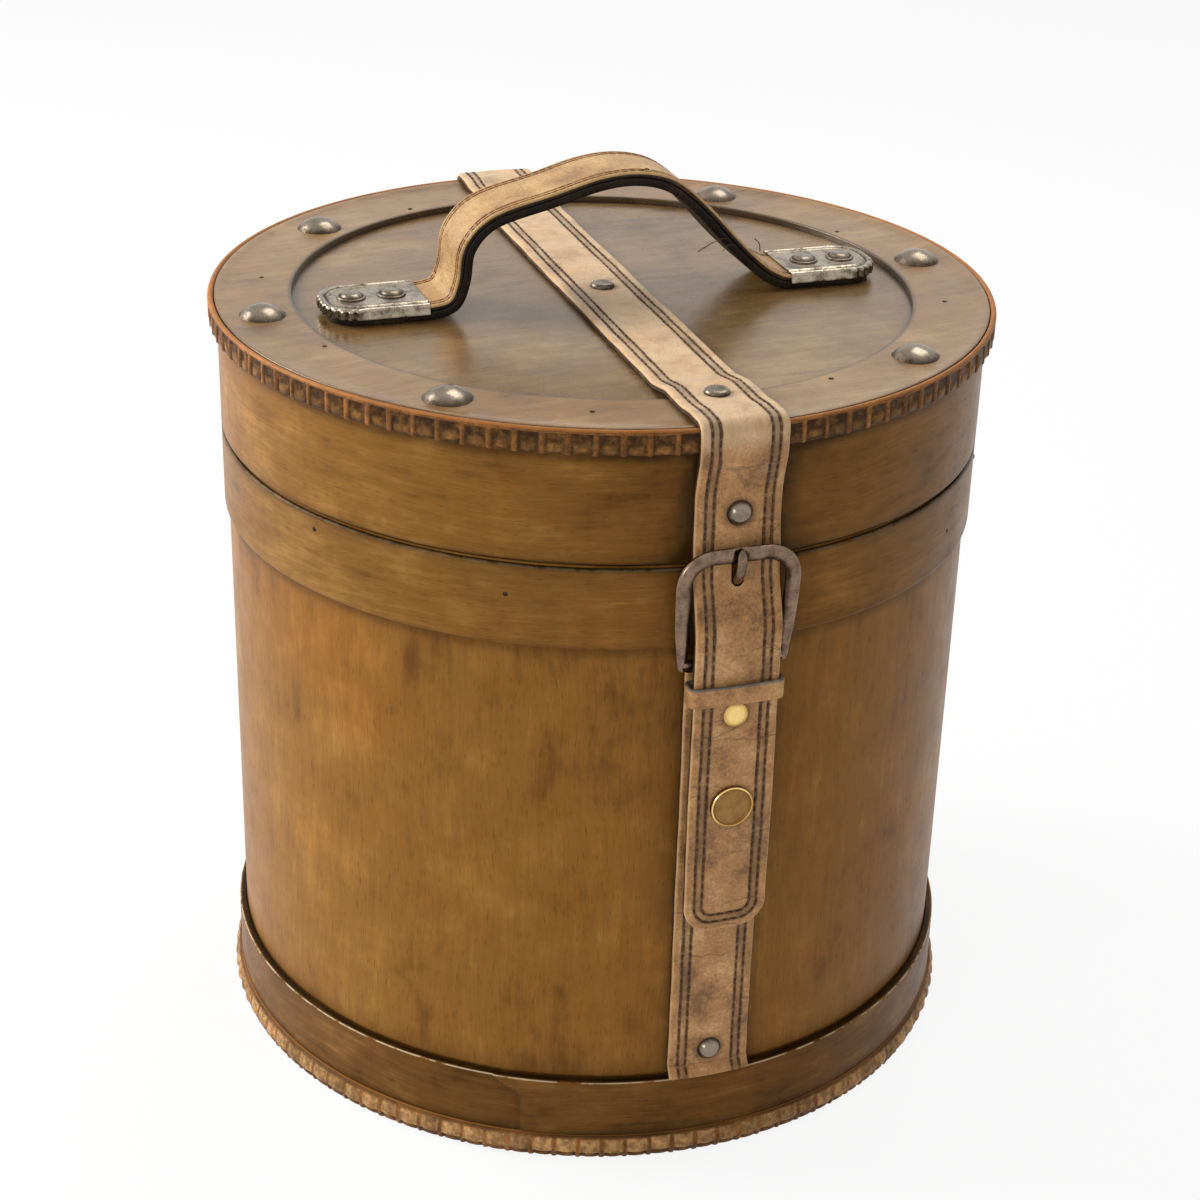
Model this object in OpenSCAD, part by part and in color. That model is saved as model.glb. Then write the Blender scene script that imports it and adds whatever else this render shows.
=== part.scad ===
// Round wooden collar box with a hinged lid, a carrying handle and a
// strap-and-buckle front. The origin is the centre of the underside, +Z is
// up and the buckle faces -Y. All sizes are millimetres.

/* [Drum] */
// Outer radius of the lid skirt and of the collar hoop below it
lid_r = 120; // [100:1:150]
// Height of the seam between the drum and the lid
seam_h = 203.6; // [165:0.1:250]
// Gap that shows at the seam
seam_gap = 0.3; // [0.2:0.1:1]
// Thickness of the drum shell
shell_t = 3.2; // [2:0.1:5]
// Thickness of the base board
base_t = 6; // [4:0.5:10]
// Thickness of the collar hoop
collar_t = 1.35; // [0.8:0.05:3]
// Height of the collar hoop
collar_h = 25.6; // [15:0.1:35]
// Thickness of the foot hoop
foot_hoop_t = 2.5; // [1:0.1:4]
// Height of the foot hoop
foot_hoop_h = 20; // [12:0.5:30]
// Height of the moulding round the foot
foot_moulding_h = 7.85; // [5:0.05:12]
// Thickness of the moulding round the foot
foot_moulding_t = 4.5; // [3:0.1:8]
// Thickness of the inner lip that guides the lid
lip_t = 2.4; // [1.5:0.1:4]
// Height of the inner lip above the seam
lip_rise = 10; // [5:0.5:16]
// Depth of the inner lip below the seam
lip_drop = 18.6; // [10:0.1:30]
// Running gap between the inner lip and the lid skirt
lip_gap = 0.6; // [0.5:0.05:1.5]

/* [Lid] */
// Height of the lid skirt
skirt_h = 39; // [30:0.5:60]
// Thickness of the lid board
lid_board_t = 6; // [4:0.5:9]
// Width of the raised ring round the lid board
ring_w = 23.1; // [19:0.1:35]
// Thickness of the raised ring
ring_t = 2; // [1:0.1:4]
// Height of the moulding round the lid's rim
rim_h = 9.2; // [6:0.1:14]
// How far the rim moulding stands out from the skirt
rim_t = 2.6; // [1.5:0.1:5]
// Width of the rim moulding's lip on top of the ring
rim_lip_w = 2.8; // [1:0.1:5]
// Thickness of the rim moulding's lip
rim_lip_t = 0.75; // [0.5:0.05:1.5]

/* [Straps] */
// Width of the leather strap
strap_w = 26; // [18:0.5:32]
// Thickness of the leather strap
strap_t = 2.2; // [1.6:0.1:3]
// Height of the flap's hinge line above the seam
flap_rise = 8; // [7.5:0.1:9]
// Distance of the strap's tail end below the seam
tail_drop = 117.9; // [110:0.1:130]
// Corner radius of the strap's tail end
tail_corner_r = 9; // [5:0.5:13]
// How far the tail stands out from the collar hoop, at its back
tail_stand = 5.2; // [5.1:0.1:7]
// Height of the lower strap's bottom end above the floor
lower_strap_z = 26.2; // [20:0.1:40]
// Distance of the lower strap's top end below the seam
lower_strap_drop = 33.6; // [33:0.1:40]
// Distance of the rear strap's bottom end below the seam
rear_strap_drop = 62; // [50:1:80]

/* [Buckle] */
// Gap between the strap's edges and the inside of the buckle's side bars
buckle_side_gap = 1.1; // [0.8:0.1:3]
// Width of the buckle frame's side and top bars
buckle_bar = 4.7; // [3:0.1:4.8]
// Thickness of the buckle frame
buckle_t = 2.6; // [1.8:0.1:3]
// Corner radius at the top of the buckle frame
buckle_corner_r = 11; // [6:0.5:13]
// Distance of the buckle's bottom bar below the seam
bar_drop = 29.6; // [28:0.1:30]
// Height of the buckle frame's top edge above the seam
buckle_rise = 6.4; // [6:0.1:6.6]
// Radius of the round bottom bar
bar_r = 1.4; // [1.2:0.05:1.5]
// Width of the prong
prong_w = 3.2; // [2.4:0.1:3.4]
// Thickness of the prong
prong_t = 1.4; // [1:0.1:1.5]
// Height of the keeper loop
keeper_h = 6.1; // [4:0.1:6.5]
// Distance of the keeper's bottom edge below the seam
keeper_drop = 41.1; // [40:0.1:41.5]
// Thickness of the keeper's leather
keeper_t = 1.2; // [0.8:0.1:1.4]

/* [Handle] */
// Width of the handle strap
handle_w = 24; // [16:0.5:30]
// Height of the arch's middle line above the lid board
handle_rise = 39.4; // [34:0.2:60]
// Thickness of the light leather on top
handle_top_t = 1.8; // [1:0.1:2.5]
// Thickness of the dark leather below it
handle_back_t = 2.8; // [1.5:0.1:3.5]
// Length of each metal end cap
cap_len = 31.5; // [26:0.5:40]
// Corner radius at the outer end of an end cap
cap_corner_r = 10.5; // [5:0.5:12]
// Sheet thickness of an end cap
cap_t = 0.8; // [0.5:0.1:1.2]
// Distance between an end cap and the raised ring
cap_margin = 6.4; // [3:0.2:20]

/* [Nails and rivets] */
// Diameter of the domed nails on the lid ring
nail_d = 14.6; // [10:0.2:16]
// Height of the domed nails
nail_h = 4; // [2:0.1:5]
// Distance of the domed nails from the ring's inner edge
nail_inset = 11.1; // [9:0.1:12]
// Diameter of the strap rivets
rivet_d = 7.6; // [5:0.1:9]
// Height of the strap rivets
rivet_h = 1.9; // [1:0.1:2.5]
// Diameter of every rivet's shank
shank_d = 2.4; // [1.5:0.1:3]
// Diameter of the snap's front cap
snap_d = 13.2; // [10:0.2:16]

/* [Hidden] */
$fn = 96;

// Glue line between faces of one body, and gap between parts that move apart
glue = 0.05;
gap = 0.3;
cut = 1;
bore_gap = 0.05;

// Drum radii and heights
shell_r = lid_r - collar_t - glue;
shell_in = shell_r - shell_t;
drum_top = seam_h - seam_gap;
collar_z = drum_top - collar_h;
foot_hoop_z = foot_moulding_h + glue;
foot_hoop_top = foot_hoop_z + foot_hoop_h;
foot_hoop_r = shell_r + glue + foot_hoop_t;
lip_r = shell_in - glue;

// Lid radii and heights
skirt_in = lip_r + lip_gap;
skirt_t = lid_r - skirt_in;
skirt_top = seam_h + skirt_h;
board_top = skirt_top + glue;
ring_z = board_top + glue;
ring_top = ring_z + ring_t;
recess_r = lid_r - ring_w;
rim_top = ring_top + glue + rim_lip_t;
rim_r = lid_r + glue + rim_t;
rim_edge_r = 1.2;

// Strap faces, as distances out from the lid skirt's radius
lie = glue;
face = lie + strap_t;
flap_z = seam_h + flap_rise;
hinge_z = seam_h - seam_gap / 2;
tail_z = seam_h - tail_drop;
tail_face = tail_stand + strap_t;
lower_strap_top = seam_h - lower_strap_drop;
lower_face = shell_r + glue + strap_t - lid_r;

// Bottom bar of the buckle, and the leather eye round it
bar_z = seam_h - bar_drop;
eye_t = 0.9;
bar_w = tail_stand - gap - bar_r - bore_gap - eye_t - 0.05;
eye_r = bar_r + bore_gap + eye_t;
loop_t = 2 * eye_t;
loop_w = strap_w - 2;
loop_front = tail_stand - glue;
loop_bottom = bar_z - 22;
loop_bend_z = bar_z - 3.5;
prong_eye_r = bar_r + bore_gap + 0.85;

// Buckle frame: its top bar lies in front of the strap
buckle_w = strap_w + 2 * (buckle_side_gap + buckle_bar);
top_bar_z = seam_h + buckle_rise - buckle_bar / 2;
top_bar_w = lie + gap + strap_t + 0.85 + buckle_t / 2;
buckle_tilt = atan((top_bar_w - bar_w) / (top_bar_z - bar_z));
buckle_reach = (top_bar_z - bar_z) / cos(buckle_tilt) + buckle_bar / 2;
notch_depth = 1.2;
notch_w = prong_w + 2 * gap;
notch_floor = top_bar_w + buckle_t / 2 - notch_depth;
prong_in = 0.4;
ramp_z = seam_h - 7.3;
ramp_top_z = seam_h + 0.6;
prong_top_z = seam_h + buckle_rise - 0.6;
prong_slot_w = prong_w + 0.8;
slot_in_z = seam_h - 11.4;
slot_out_z = seam_h - 6.4;
slot_top_z = seam_h + 2;

// The tail's bend from under the top bar to over the bottom bar
bend_top_z = seam_h - 0.2;
bend_low_z = seam_h - 21.6;
bend_steps = 14;

// Keeper
keeper_z = seam_h - keeper_drop;
keeper_in_back = loop_front - loop_t - 0.35;
keeper_in_front = tail_face + gap;
keeper_in_x = strap_w / 2 + 0.5;

// Rivet places
rivet_seat = 0.05;
front_rivet_z = seam_h + 15.7;
rear_lid_rivet_z = seam_h + 15.7;
rear_high_rivet_z = seam_h - 12;
rear_low_rivet_z = seam_h - rear_strap_drop + 11;
lower_rivet_z = lower_strap_z + 11.3;
brass_z = seam_h - 45.2;
snap_z = seam_h - 75.1;
snap_stem_r = 2;
socket_t = 1.95;
top_rivet_y = recess_r + rivet_d / 2 + 0.2;
strap_top = board_top + glue + strap_t;

// Handle: the arch's middle line as [along X, above the board] at its real size
arch = [[-59, 0], [-51.5, 1.7], [-48.3, 9], [-46.6, 19], [-38.5, 27], [-20.5, 32],
    [-5, 36.2], [7, 37], [18, 34], [28.5, 25.4], [39.5, 13.6], [49, 4.6], [55, 0.9], [57.5, 0]];
arch_span = 59;
arch_crest = 37;
arch_steps = 6;
handle_t = handle_top_t + handle_back_t + glue;
handle_mid_z = board_top + glue + handle_t / 2;
cap_outer_x = recess_r - cap_margin;
cap_inner_x = cap_outer_x - cap_len;
handle_end_x = cap_outer_x - cap_t - glue;
cap_top = board_top + glue + handle_t + glue + cap_t;
cap_rivet_in = 9;
cap_rivet_out = 21.5;

// Nails and brads
nail_angles = [0, 50, 132, 180, 228, 310];
nail_ring_r = recess_r + nail_inset;
brad_d = 2.2;
brad_h = 0.45;
collar_brad_angles = [-152, -121, -46, -28, 20, 65, 118, 160];
ring_brad_angles = [20, 74, 112, 161, 198, 250, 292, 338];

// Distance out from the skirt's radius, as a place on Y
function front(w) = -(lid_r + w);

function unit(v) = v / norm(v);
function left_of(v) = [-v[1], v[0]];
function normal_at(p, i) =
    let (a = p[max(i - 1, 0)], b = p[i], c = p[min(i + 1, len(p) - 1)],
        n1 = left_of(unit(i == 0 ? c - b : b - a)),
        n2 = left_of(unit(i == len(p) - 1 ? b - a : c - b)),
        n = unit(n1 + n2))
    n / (n * n1);
function shifted(p, t) = [for (i = [0 : len(p) - 1]) p[i] + t * normal_at(p, i)];
function reversed(p) = [for (i = [len(p) - 1 : -1 : 0]) p[i]];

// A band of leather: the path is one face, and the other lies t to its left
function band(p, t) = concat(p, reversed(shifted(p, t)));

function spline_point(a, b, c, d, t) =
    0.5 * (2 * b + (c - a) * t + (2 * a - 5 * b + 4 * c - d) * t * t
        + (3 * b - a - 3 * c + d) * t * t * t);
function spline(p, steps) = [for (i = [0 : len(p) - 2], s = [0 : steps - 1])
    spline_point(p[max(i - 1, 0)], p[i], p[i + 1], p[min(i + 2, len(p) - 1)], s / steps)];

function smooth(t) = t * t * (3 - 2 * t);

// The tail's back face, from the flap's hinge line down to its end
function tail_w(z) = let (t = min(max((bend_top_z - z) / (bend_top_z - bend_low_z), 0), 1))
    lie + gap + (tail_stand - lie - gap) * smooth(t);
tail_path = concat(
    [[front(lie + gap), flap_z - 0.15]],
    [for (i = [0 : bend_steps]) let (z = bend_top_z - i * (bend_top_z - bend_low_z) / bend_steps)
        [front(tail_w(z)), z]],
    [[front(tail_stand), tail_z]]);

// The lid strap's underside from the rim moulding down the skirt, as [radius, height]
bend_r = rim_edge_r + glue;
function over_rim(end_z) = concat(
    [[rim_r - 6, rim_top + glue]],
    [for (a = [0 : 22.5 : 90])
        [rim_r - rim_edge_r + bend_r * sin(a), rim_top - rim_edge_r + bend_r * cos(a)]],
    [[rim_r + glue, rim_top - rim_h - 0.2], [lid_r + lie, rim_top - rim_h - 4.5],
        [lid_r + lie, end_z]]);

// The lid strap's underside across the lid, as [Y, height]
ramp_low_y = recess_r - 14;
ramp_high_y = recess_r - 3;
rim_ramp_y = lid_r - rim_lip_w - 3;
half_top = [[ramp_low_y, board_top + glue], [ramp_high_y, ring_top + glue],
    [rim_ramp_y - 6, ring_top + glue], [rim_ramp_y, rim_top + glue], [rim_r - 5.5, rim_top + glue]];
top_path = concat([for (p = reversed(half_top)) [p[0], p[1]]], [for (p = half_top) [-p[0], p[1]]]);

// The handle's middle line
arch_scale = [cap_inner_x / arch_span, (handle_rise - handle_t / 2) / arch_crest];
handle_line = concat(
    [[-handle_end_x, handle_mid_z]],
    [for (p = spline(arch, arch_steps)) [p[0] * arch_scale[0], handle_mid_z + p[1] * arch_scale[1]]],
    [[arch[len(arch) - 1][0] * arch_scale[0], handle_mid_z], [handle_end_x, handle_mid_z]]);

// Shared shapes

module ring(r_out, r_in, z0, z1) {
    translate([0, 0, z0])
        difference() {
            cylinder(r = r_out, h = z1 - z0);
            translate([0, 0, -cut]) cylinder(r = r_in, h = z1 - z0 + 2 * cut);
        }
}

// A side view drawn in [Y, Z] and made w wide along X
module side_shape(points, w) {
    translate([-w / 2, 0, 0]) rotate([90, 0, 90]) linear_extrude(w) polygon(points);
}

// A strap that hugs the round wall at one side, from an outline in [radius, Z]
module wall_strap(points, w, side) {
    intersection() {
        rotate_extrude($fn = 180) polygon(points);
        translate([-w / 2, side < 0 ? -2 * lid_r : 0, 0]) cube([w, 2 * lid_r, 2 * seam_h]);
    }
}

module dome(d, h) {
    ball_r = (d * d / 4 + h * h) / (2 * h);
    intersection() {
        translate([0, 0, h - ball_r]) sphere(r = ball_r);
        cylinder(d = d + 2, h = h + 1);
    }
}

// A rivet whose head sits on Z = 0 and whose shank reaches down
module rivet(d, h, reach) {
    translate([0, 0, rivet_seat]) dome(d, h);
    translate([0, 0, -reach]) cylinder(d = shank_d, h = reach + 2 * rivet_seat);
}

module bore(reach) {
    translate([0, 0, -reach]) cylinder(d = shank_d + 2 * bore_gap, h = 2 * reach);
}

module on_front(w, z) {
    translate([0, front(w), z]) rotate([90, 0, 0]) children();
}

module on_back(w, z) {
    translate([0, lid_r + w, z]) rotate([-90, 0, 0]) children();
}

module on_lid(x, y, z) {
    translate([x, y, z]) children();
}

module wall_bores() {
    on_front(0, front_rivet_z) bore(14);
    on_front(0, lower_rivet_z) bore(14);
    for (z = [rear_lid_rivet_z, rear_high_rivet_z, rear_low_rivet_z]) on_back(0, z) bore(14);
}

module strap_top_bores() {
    for (y = [-top_rivet_y, 0, top_rivet_y]) on_lid(0, y, board_top) bore(14);
}

module nail_bores() {
    for (a = nail_angles) rotate([0, 0, a]) on_lid(nail_ring_r, 0, board_top) bore(14);
}

module handle_bores() {
    for (s = [-1, 1], x = [cap_rivet_in, cap_rivet_out])
        on_lid(s * (cap_inner_x + x), 0, board_top) bore(14);
}

// An end cap's plan, drawn in from its true outline by the given inset
module cap_plan(inset) {
    r = cap_corner_r - inset;
    half = handle_w / 2 + glue + cap_t - inset;
    end_x = cap_outer_x - inset;
    translate([0, -half]) square([end_x - r, 2 * half]);
    translate([0, -(half - r)]) square([end_x, 2 * (half - r)]);
    for (s = [-1, 1]) translate([end_x - r, s * (half - r)]) circle(r = r);
}

// Drum

module drum_shell() {
    color("peru")
        difference() {
            ring(shell_r, shell_in, 0, drum_top);
            wall_bores();
        }
}

module base_board() {
    color("burlywood") cylinder(r = shell_in - glue, h = base_t);
}

module inner_lip() {
    color("tan")
        difference() {
            ring(lip_r, lip_r - lip_t, seam_h - lip_drop, seam_h + lip_rise);
            wall_bores();
        }
}

module collar_hoop() {
    color("darkgoldenrod")
        difference() {
            ring(lid_r, shell_r + glue, collar_z, drum_top);
            wall_bores();
        }
}

module foot_hoop() {
    color("darkgoldenrod") ring(foot_hoop_r, shell_r + glue, foot_hoop_z, foot_hoop_top);
}

module foot_moulding() {
    color("saddlebrown") ring(shell_r + glue + foot_moulding_t, shell_r + glue, 0, foot_moulding_h);
}

module lower_strap() {
    low_r = shell_r + glue;
    over_r = foot_hoop_r + glue;
    path = [[low_r, lower_strap_top], [low_r, foot_hoop_top + 4],
        [over_r, foot_hoop_top + 0.6], [over_r, lower_strap_z]];
    color("tan")
        difference() {
            wall_strap(band(path, strap_t), strap_w, -1);
            wall_bores();
        }
}

module lower_strap_rivet() {
    color("silver") on_front(lower_face, lower_rivet_z) rivet(rivet_d, rivet_h, strap_t + glue + shell_t);
}

module snap_socket() {
    color("gray") on_front(lower_face + glue, snap_z)
        difference() {
            cylinder(r = snap_d / 2 - 0.6, h = socket_t);
            translate([0, 0, socket_t - 0.5]) cylinder(r = snap_d / 2 - 2.6, h = 1);
        }
}

module rear_strap() {
    path = [[lid_r + lie, hinge_z - seam_gap], [lid_r + lie, collar_z - 0.2],
        [shell_r + glue, collar_z - 3.5], [shell_r + glue, seam_h - rear_strap_drop]];
    color("tan")
        difference() {
            wall_strap(band(path, strap_t), strap_w, 1);
            wall_bores();
        }
}

module rear_strap_rivets() {
    color("silver") {
        on_back(face, rear_high_rivet_z) rivet(rivet_d, rivet_h, lid_r + face - lip_r + lip_t);
        on_back(lower_face, rear_low_rivet_z) rivet(rivet_d, rivet_h, strap_t + glue + shell_t);
    }
}

module collar_brads() {
    color("dimgray")
        for (i = [0 : len(collar_brad_angles) - 1])
            rotate([0, 0, collar_brad_angles[i]])
                translate([lid_r + 0.01, 0, drum_top - 5 - 5 * (i % 3)])
                    rotate([0, 90, 0]) dome(brad_d, brad_h);
}

// Lid

module lid_skirt() {
    color("peru")
        difference() {
            ring(lid_r, skirt_in, seam_h, skirt_top);
            wall_bores();
        }
}

module lid_board() {
    color("peru")
        difference() {
            translate([0, 0, board_top - lid_board_t]) cylinder(r = skirt_in - glue, h = lid_board_t);
            strap_top_bores();
            nail_bores();
            handle_bores();
        }
}

module lid_ring() {
    color("darkgoldenrod")
        difference() {
            ring(lid_r - glue, recess_r, ring_z, ring_top);
            strap_top_bores();
            nail_bores();
        }
}

module lid_moulding() {
    r = rim_edge_r;
    edge = [for (a = [0 : 22.5 : 90]) [rim_r - r + r * cos(a), rim_top - r + r * sin(a)]];
    color("saddlebrown")
        rotate_extrude($fn = 180)
            polygon(concat([[rim_r, rim_top - rim_h]], edge,
                [[lid_r - rim_lip_w, rim_top], [lid_r - rim_lip_w, rim_top - rim_lip_t],
                    [lid_r + glue, rim_top - rim_lip_t], [lid_r + glue, rim_top - rim_h]]));
}

module dome_nails() {
    color("gray")
        for (a = nail_angles)
            rotate([0, 0, a]) translate([nail_ring_r, 0, ring_top])
                rivet(nail_d, nail_h, ring_t + lid_board_t);
}

module ring_brads() {
    color("dimgray")
        for (i = [0 : len(ring_brad_angles) - 1])
            rotate([0, 0, ring_brad_angles[i]])
                translate([recess_r + 4 + 6 * (i % 2), 0, ring_top + rivet_seat]) dome(brad_d, brad_h);
}

module lid_strap() {
    color("tan")
        difference() {
            union() {
                side_shape(band(top_path, -strap_t), strap_w);
                wall_strap(band(over_rim(flap_z + 0.15), strap_t), strap_w, -1);
                wall_strap(band(over_rim(hinge_z + seam_gap), strap_t), strap_w, 1);
            }
            wall_bores();
            strap_top_bores();
        }
}

module lid_strap_rivets() {
    under = board_top - lid_board_t;
    color("silver") {
        translate([0, 0, strap_top]) rivet(rivet_d, rivet_h, strap_top - under);
        for (s = [-1, 1])
            translate([0, s * top_rivet_y, ring_top + glue + strap_t])
                rivet(rivet_d, rivet_h, ring_top + glue + strap_t - under);
        on_front(face, front_rivet_z) rivet(rivet_d, rivet_h, face + skirt_t);
        on_back(face, rear_lid_rivet_z) rivet(rivet_d, rivet_h, face + skirt_t);
    }
}

// Handle

// A layer of the handle strap, between two distances above its middle line
module handle_layer(low, high) {
    outline = concat(shifted(handle_line, low), reversed(shifted(handle_line, high)));
    intersection() {
        translate([0, handle_w / 2, 0]) rotate([90, 0, 0]) linear_extrude(handle_w) polygon(outline);
        for (s = [0, 1])
            mirror([s, 0, 0]) linear_extrude(skirt_top + 100) cap_plan(cap_t + glue);
    }
}

module handle_strap() {
    color("navajowhite")
        difference() {
            handle_layer(handle_t / 2 - handle_top_t, handle_t / 2);
            handle_bores();
        }
}

module handle_backing() {
    color("black")
        difference() {
            handle_layer(-handle_t / 2, handle_back_t - handle_t / 2);
            handle_bores();
        }
}

module handle_cap(side) {
    color("lightgray")
        difference() {
            mirror([side < 0 ? 1 : 0, 0, 0])
                difference() {
                    translate([0, 0, board_top + glue])
                        linear_extrude(cap_top - board_top - glue) cap_plan(0);
                    translate([0, 0, board_top - cut])
                        linear_extrude(cap_top - cap_t - board_top + cut) cap_plan(cap_t);
                    translate([-cut, -lid_r, 0]) cube([cap_inner_x + cut, 2 * lid_r, 2 * skirt_top]);
                }
            handle_bores();
        }
}

module handle_cap_left() {
    handle_cap(-1);
}

module handle_cap_right() {
    handle_cap(1);
}

module handle_rivets() {
    color("silver")
        for (s = [-1, 1], x = [cap_rivet_in, cap_rivet_out])
            translate([s * (cap_inner_x + x), 0, cap_top])
                rivet(rivet_d, rivet_h, cap_top - board_top + lid_board_t);
}

// Flap: the strap's loose tail with what is fixed to it

module tail_outline() {
    r = tail_corner_r;
    half = strap_w / 2;
    translate([-half, tail_z + r]) square([strap_w, flap_z - tail_z]);
    translate([-half + r, tail_z]) square([strap_w - 2 * r, r + 1]);
    for (s = [-1, 1]) translate([s * (half - r), tail_z + r]) circle(r = r);
}

module strap_tail() {
    slot_w = tail_w(slot_in_z);
    slot = [[front(-1), slot_in_z], [front(slot_w), slot_in_z],
        [front(slot_w + 1.1), slot_out_z], [front(12), slot_out_z],
        [front(12), slot_top_z], [front(-1), slot_top_z]];
    color("tan")
        difference() {
            intersection() {
                side_shape(band(tail_path, -strap_t), strap_w);
                translate([0, 0, 0]) rotate([90, 0, 0]) linear_extrude(2 * lid_r) tail_outline();
            }
            side_shape(slot, prong_slot_w);
            on_front(tail_face, brass_z) bore(14);
            on_front(tail_face, snap_z)
                translate([0, 0, -14]) cylinder(r = snap_stem_r + bore_gap, h = 28);
        }
}

// A short folded piece of leather: an eye round the bar and two plies behind the tail
module buckle_loop() {
    path = [[front(bar_w - loop_t / 2), bar_z], [front(loop_front - loop_t), loop_bend_z],
        [front(loop_front - loop_t), loop_bottom]];
    color("sienna")
        difference() {
            union() {
                side_shape(band(path, -loop_t), loop_w);
                translate([-loop_w / 2, front(bar_w), bar_z])
                    rotate([0, 90, 0]) cylinder(r = eye_r, h = loop_w);
            }
            translate([-strap_w, front(bar_w), bar_z])
                rotate([0, 90, 0]) cylinder(r = bar_r + bore_gap, h = 2 * strap_w);
            translate([-notch_w / 2, -2 * lid_r, bar_z - 3.2]) cube([notch_w, 2 * lid_r, 10]);
            on_front(tail_face, brass_z) bore(14);
        }
}

module tail_rivet() {
    back = loop_front - loop_t - glue;
    color("gold") {
        on_front(tail_face, brass_z) rivet(7, 1.8, tail_face - back + 0.2);
        on_front(back, brass_z) translate([0, 0, -0.6]) cylinder(d = 6, h = 0.6);
    }
}

module snap_cap() {
    magnet_w = lower_face + glue + socket_t + gap;
    color("goldenrod") {
        on_front(tail_face + glue, snap_z)
            rotate_extrude()
                polygon([[0, -1], [snap_stem_r, -1], [snap_stem_r, 0], [snap_d / 2, 0],
                    [snap_d / 2, 0.9], [snap_d / 2 - 0.5, 1.4], [snap_d / 2 - 1, 1.1], [0, 1.1]]);
        on_front(magnet_w, snap_z) cylinder(r = snap_d / 2 - 0.8, h = tail_stand - glue - magnet_w);
        on_front(magnet_w, snap_z) cylinder(r = snap_stem_r, h = tail_face + 0.5 - magnet_w);
    }
}

// Buckle

module frame_outline() {
    half = buckle_w / 2;
    r = buckle_corner_r;
    low = -bar_r - 0.9;
    difference() {
        union() {
            translate([-half, low]) square([buckle_w, buckle_reach - r - low]);
            translate([-half + r, buckle_reach - r - 1]) square([buckle_w - 2 * r, r + 1]);
            for (s = [-1, 1]) translate([s * (half - r), buckle_reach - r]) circle(r = r);
        }
        inner_half = half - buckle_bar;
        inner_r = r - buckle_bar + 1.2;
        top = buckle_reach - buckle_bar;
        translate([-inner_half, low - 1]) square([2 * inner_half, top - inner_r - low + 1]);
        translate([-inner_half + inner_r, top - inner_r - 1])
            square([2 * (inner_half - inner_r), inner_r + 1]);
        for (s = [-1, 1]) translate([s * (inner_half - inner_r), top - inner_r]) circle(r = inner_r);
    }
}

module buckle_frame() {
    color("dimgray")
        translate([0, front(bar_w), bar_z])
            rotate([buckle_tilt, 0, 0])
                difference() {
                    union() {
                        translate([0, buckle_t / 2, 0]) rotate([90, 0, 0])
                            linear_extrude(buckle_t) frame_outline();
                        translate([-buckle_w / 2 + buckle_bar / 2, 0, 0])
                            rotate([0, 90, 0]) cylinder(r = bar_r, h = buckle_w - buckle_bar);
                    }
                    translate([-notch_w / 2, -buckle_t / 2 - 1, buckle_reach - buckle_bar - 1])
                        cube([notch_w, notch_depth + 1, buckle_bar + 2]);
                }
}

module buckle_prong() {
    tip_in = notch_floor + 0.35;
    shank = [[front(prong_in), bar_z], [front(prong_in), ramp_z], [front(tip_in), ramp_top_z],
        [front(tip_in), prong_top_z]];
    color("dimgray")
        difference() {
            union() {
                side_shape(band(shank, prong_t), prong_w);
                translate([-prong_w / 2, front(bar_w), bar_z])
                    rotate([0, 90, 0]) cylinder(r = prong_eye_r, h = prong_w);
            }
            translate([-prong_w, front(bar_w), bar_z])
                rotate([0, 90, 0]) cylinder(r = bar_r + bore_gap, h = 2 * prong_w);
        }
}

module keeper_loop() {
    depth = keeper_in_front - keeper_in_back;
    color("sienna")
        translate([0, front(keeper_in_back), keeper_z])
            difference() {
                translate([-keeper_in_x - keeper_t, -depth - keeper_t, 0])
                    cube([2 * (keeper_in_x + keeper_t), depth + 2 * keeper_t, keeper_h]);
                translate([-keeper_in_x, -depth, -cut]) cube([2 * keeper_in_x, depth, keeper_h + 2 * cut]);
            }
}

drum_shell();
base_board();
inner_lip();
collar_hoop();
foot_hoop();
foot_moulding();
lower_strap();
lower_strap_rivet();
snap_socket();
rear_strap();
rear_strap_rivets();
collar_brads();
lid_skirt();
lid_board();
lid_ring();
lid_moulding();
dome_nails();
ring_brads();
lid_strap();
lid_strap_rivets();
handle_strap();
handle_backing();
handle_cap_left();
handle_cap_right();
handle_rivets();
strap_tail();
buckle_loop();
tail_rivet();
snap_cap();
buckle_frame();
buckle_prong();
keeper_loop();
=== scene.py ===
"""The looks of the round collar box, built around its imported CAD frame.

Sizes are millimetres until a mesh is made, and the frame's own axes are used:
Z up, the buckle towards -Y, the origin under the middle of the base.
"""

import math

import bmesh
import bpy
import numpy as np
from mathutils import Matrix, Vector


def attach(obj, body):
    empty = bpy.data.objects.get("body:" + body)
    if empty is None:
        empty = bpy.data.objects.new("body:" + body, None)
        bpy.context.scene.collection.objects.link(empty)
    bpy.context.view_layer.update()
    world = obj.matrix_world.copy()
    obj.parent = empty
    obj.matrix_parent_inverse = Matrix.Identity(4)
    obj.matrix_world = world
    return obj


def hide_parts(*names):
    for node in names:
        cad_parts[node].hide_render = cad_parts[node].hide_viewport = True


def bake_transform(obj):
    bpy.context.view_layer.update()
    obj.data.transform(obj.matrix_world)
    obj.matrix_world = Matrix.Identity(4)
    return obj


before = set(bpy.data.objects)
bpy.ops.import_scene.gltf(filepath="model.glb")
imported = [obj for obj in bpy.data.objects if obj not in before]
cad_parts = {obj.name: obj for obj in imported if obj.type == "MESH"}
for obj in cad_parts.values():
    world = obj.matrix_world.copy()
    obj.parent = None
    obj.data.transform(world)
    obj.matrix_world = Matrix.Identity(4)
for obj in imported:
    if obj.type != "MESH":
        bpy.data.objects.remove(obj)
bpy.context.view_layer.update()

MM = 0.001
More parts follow.
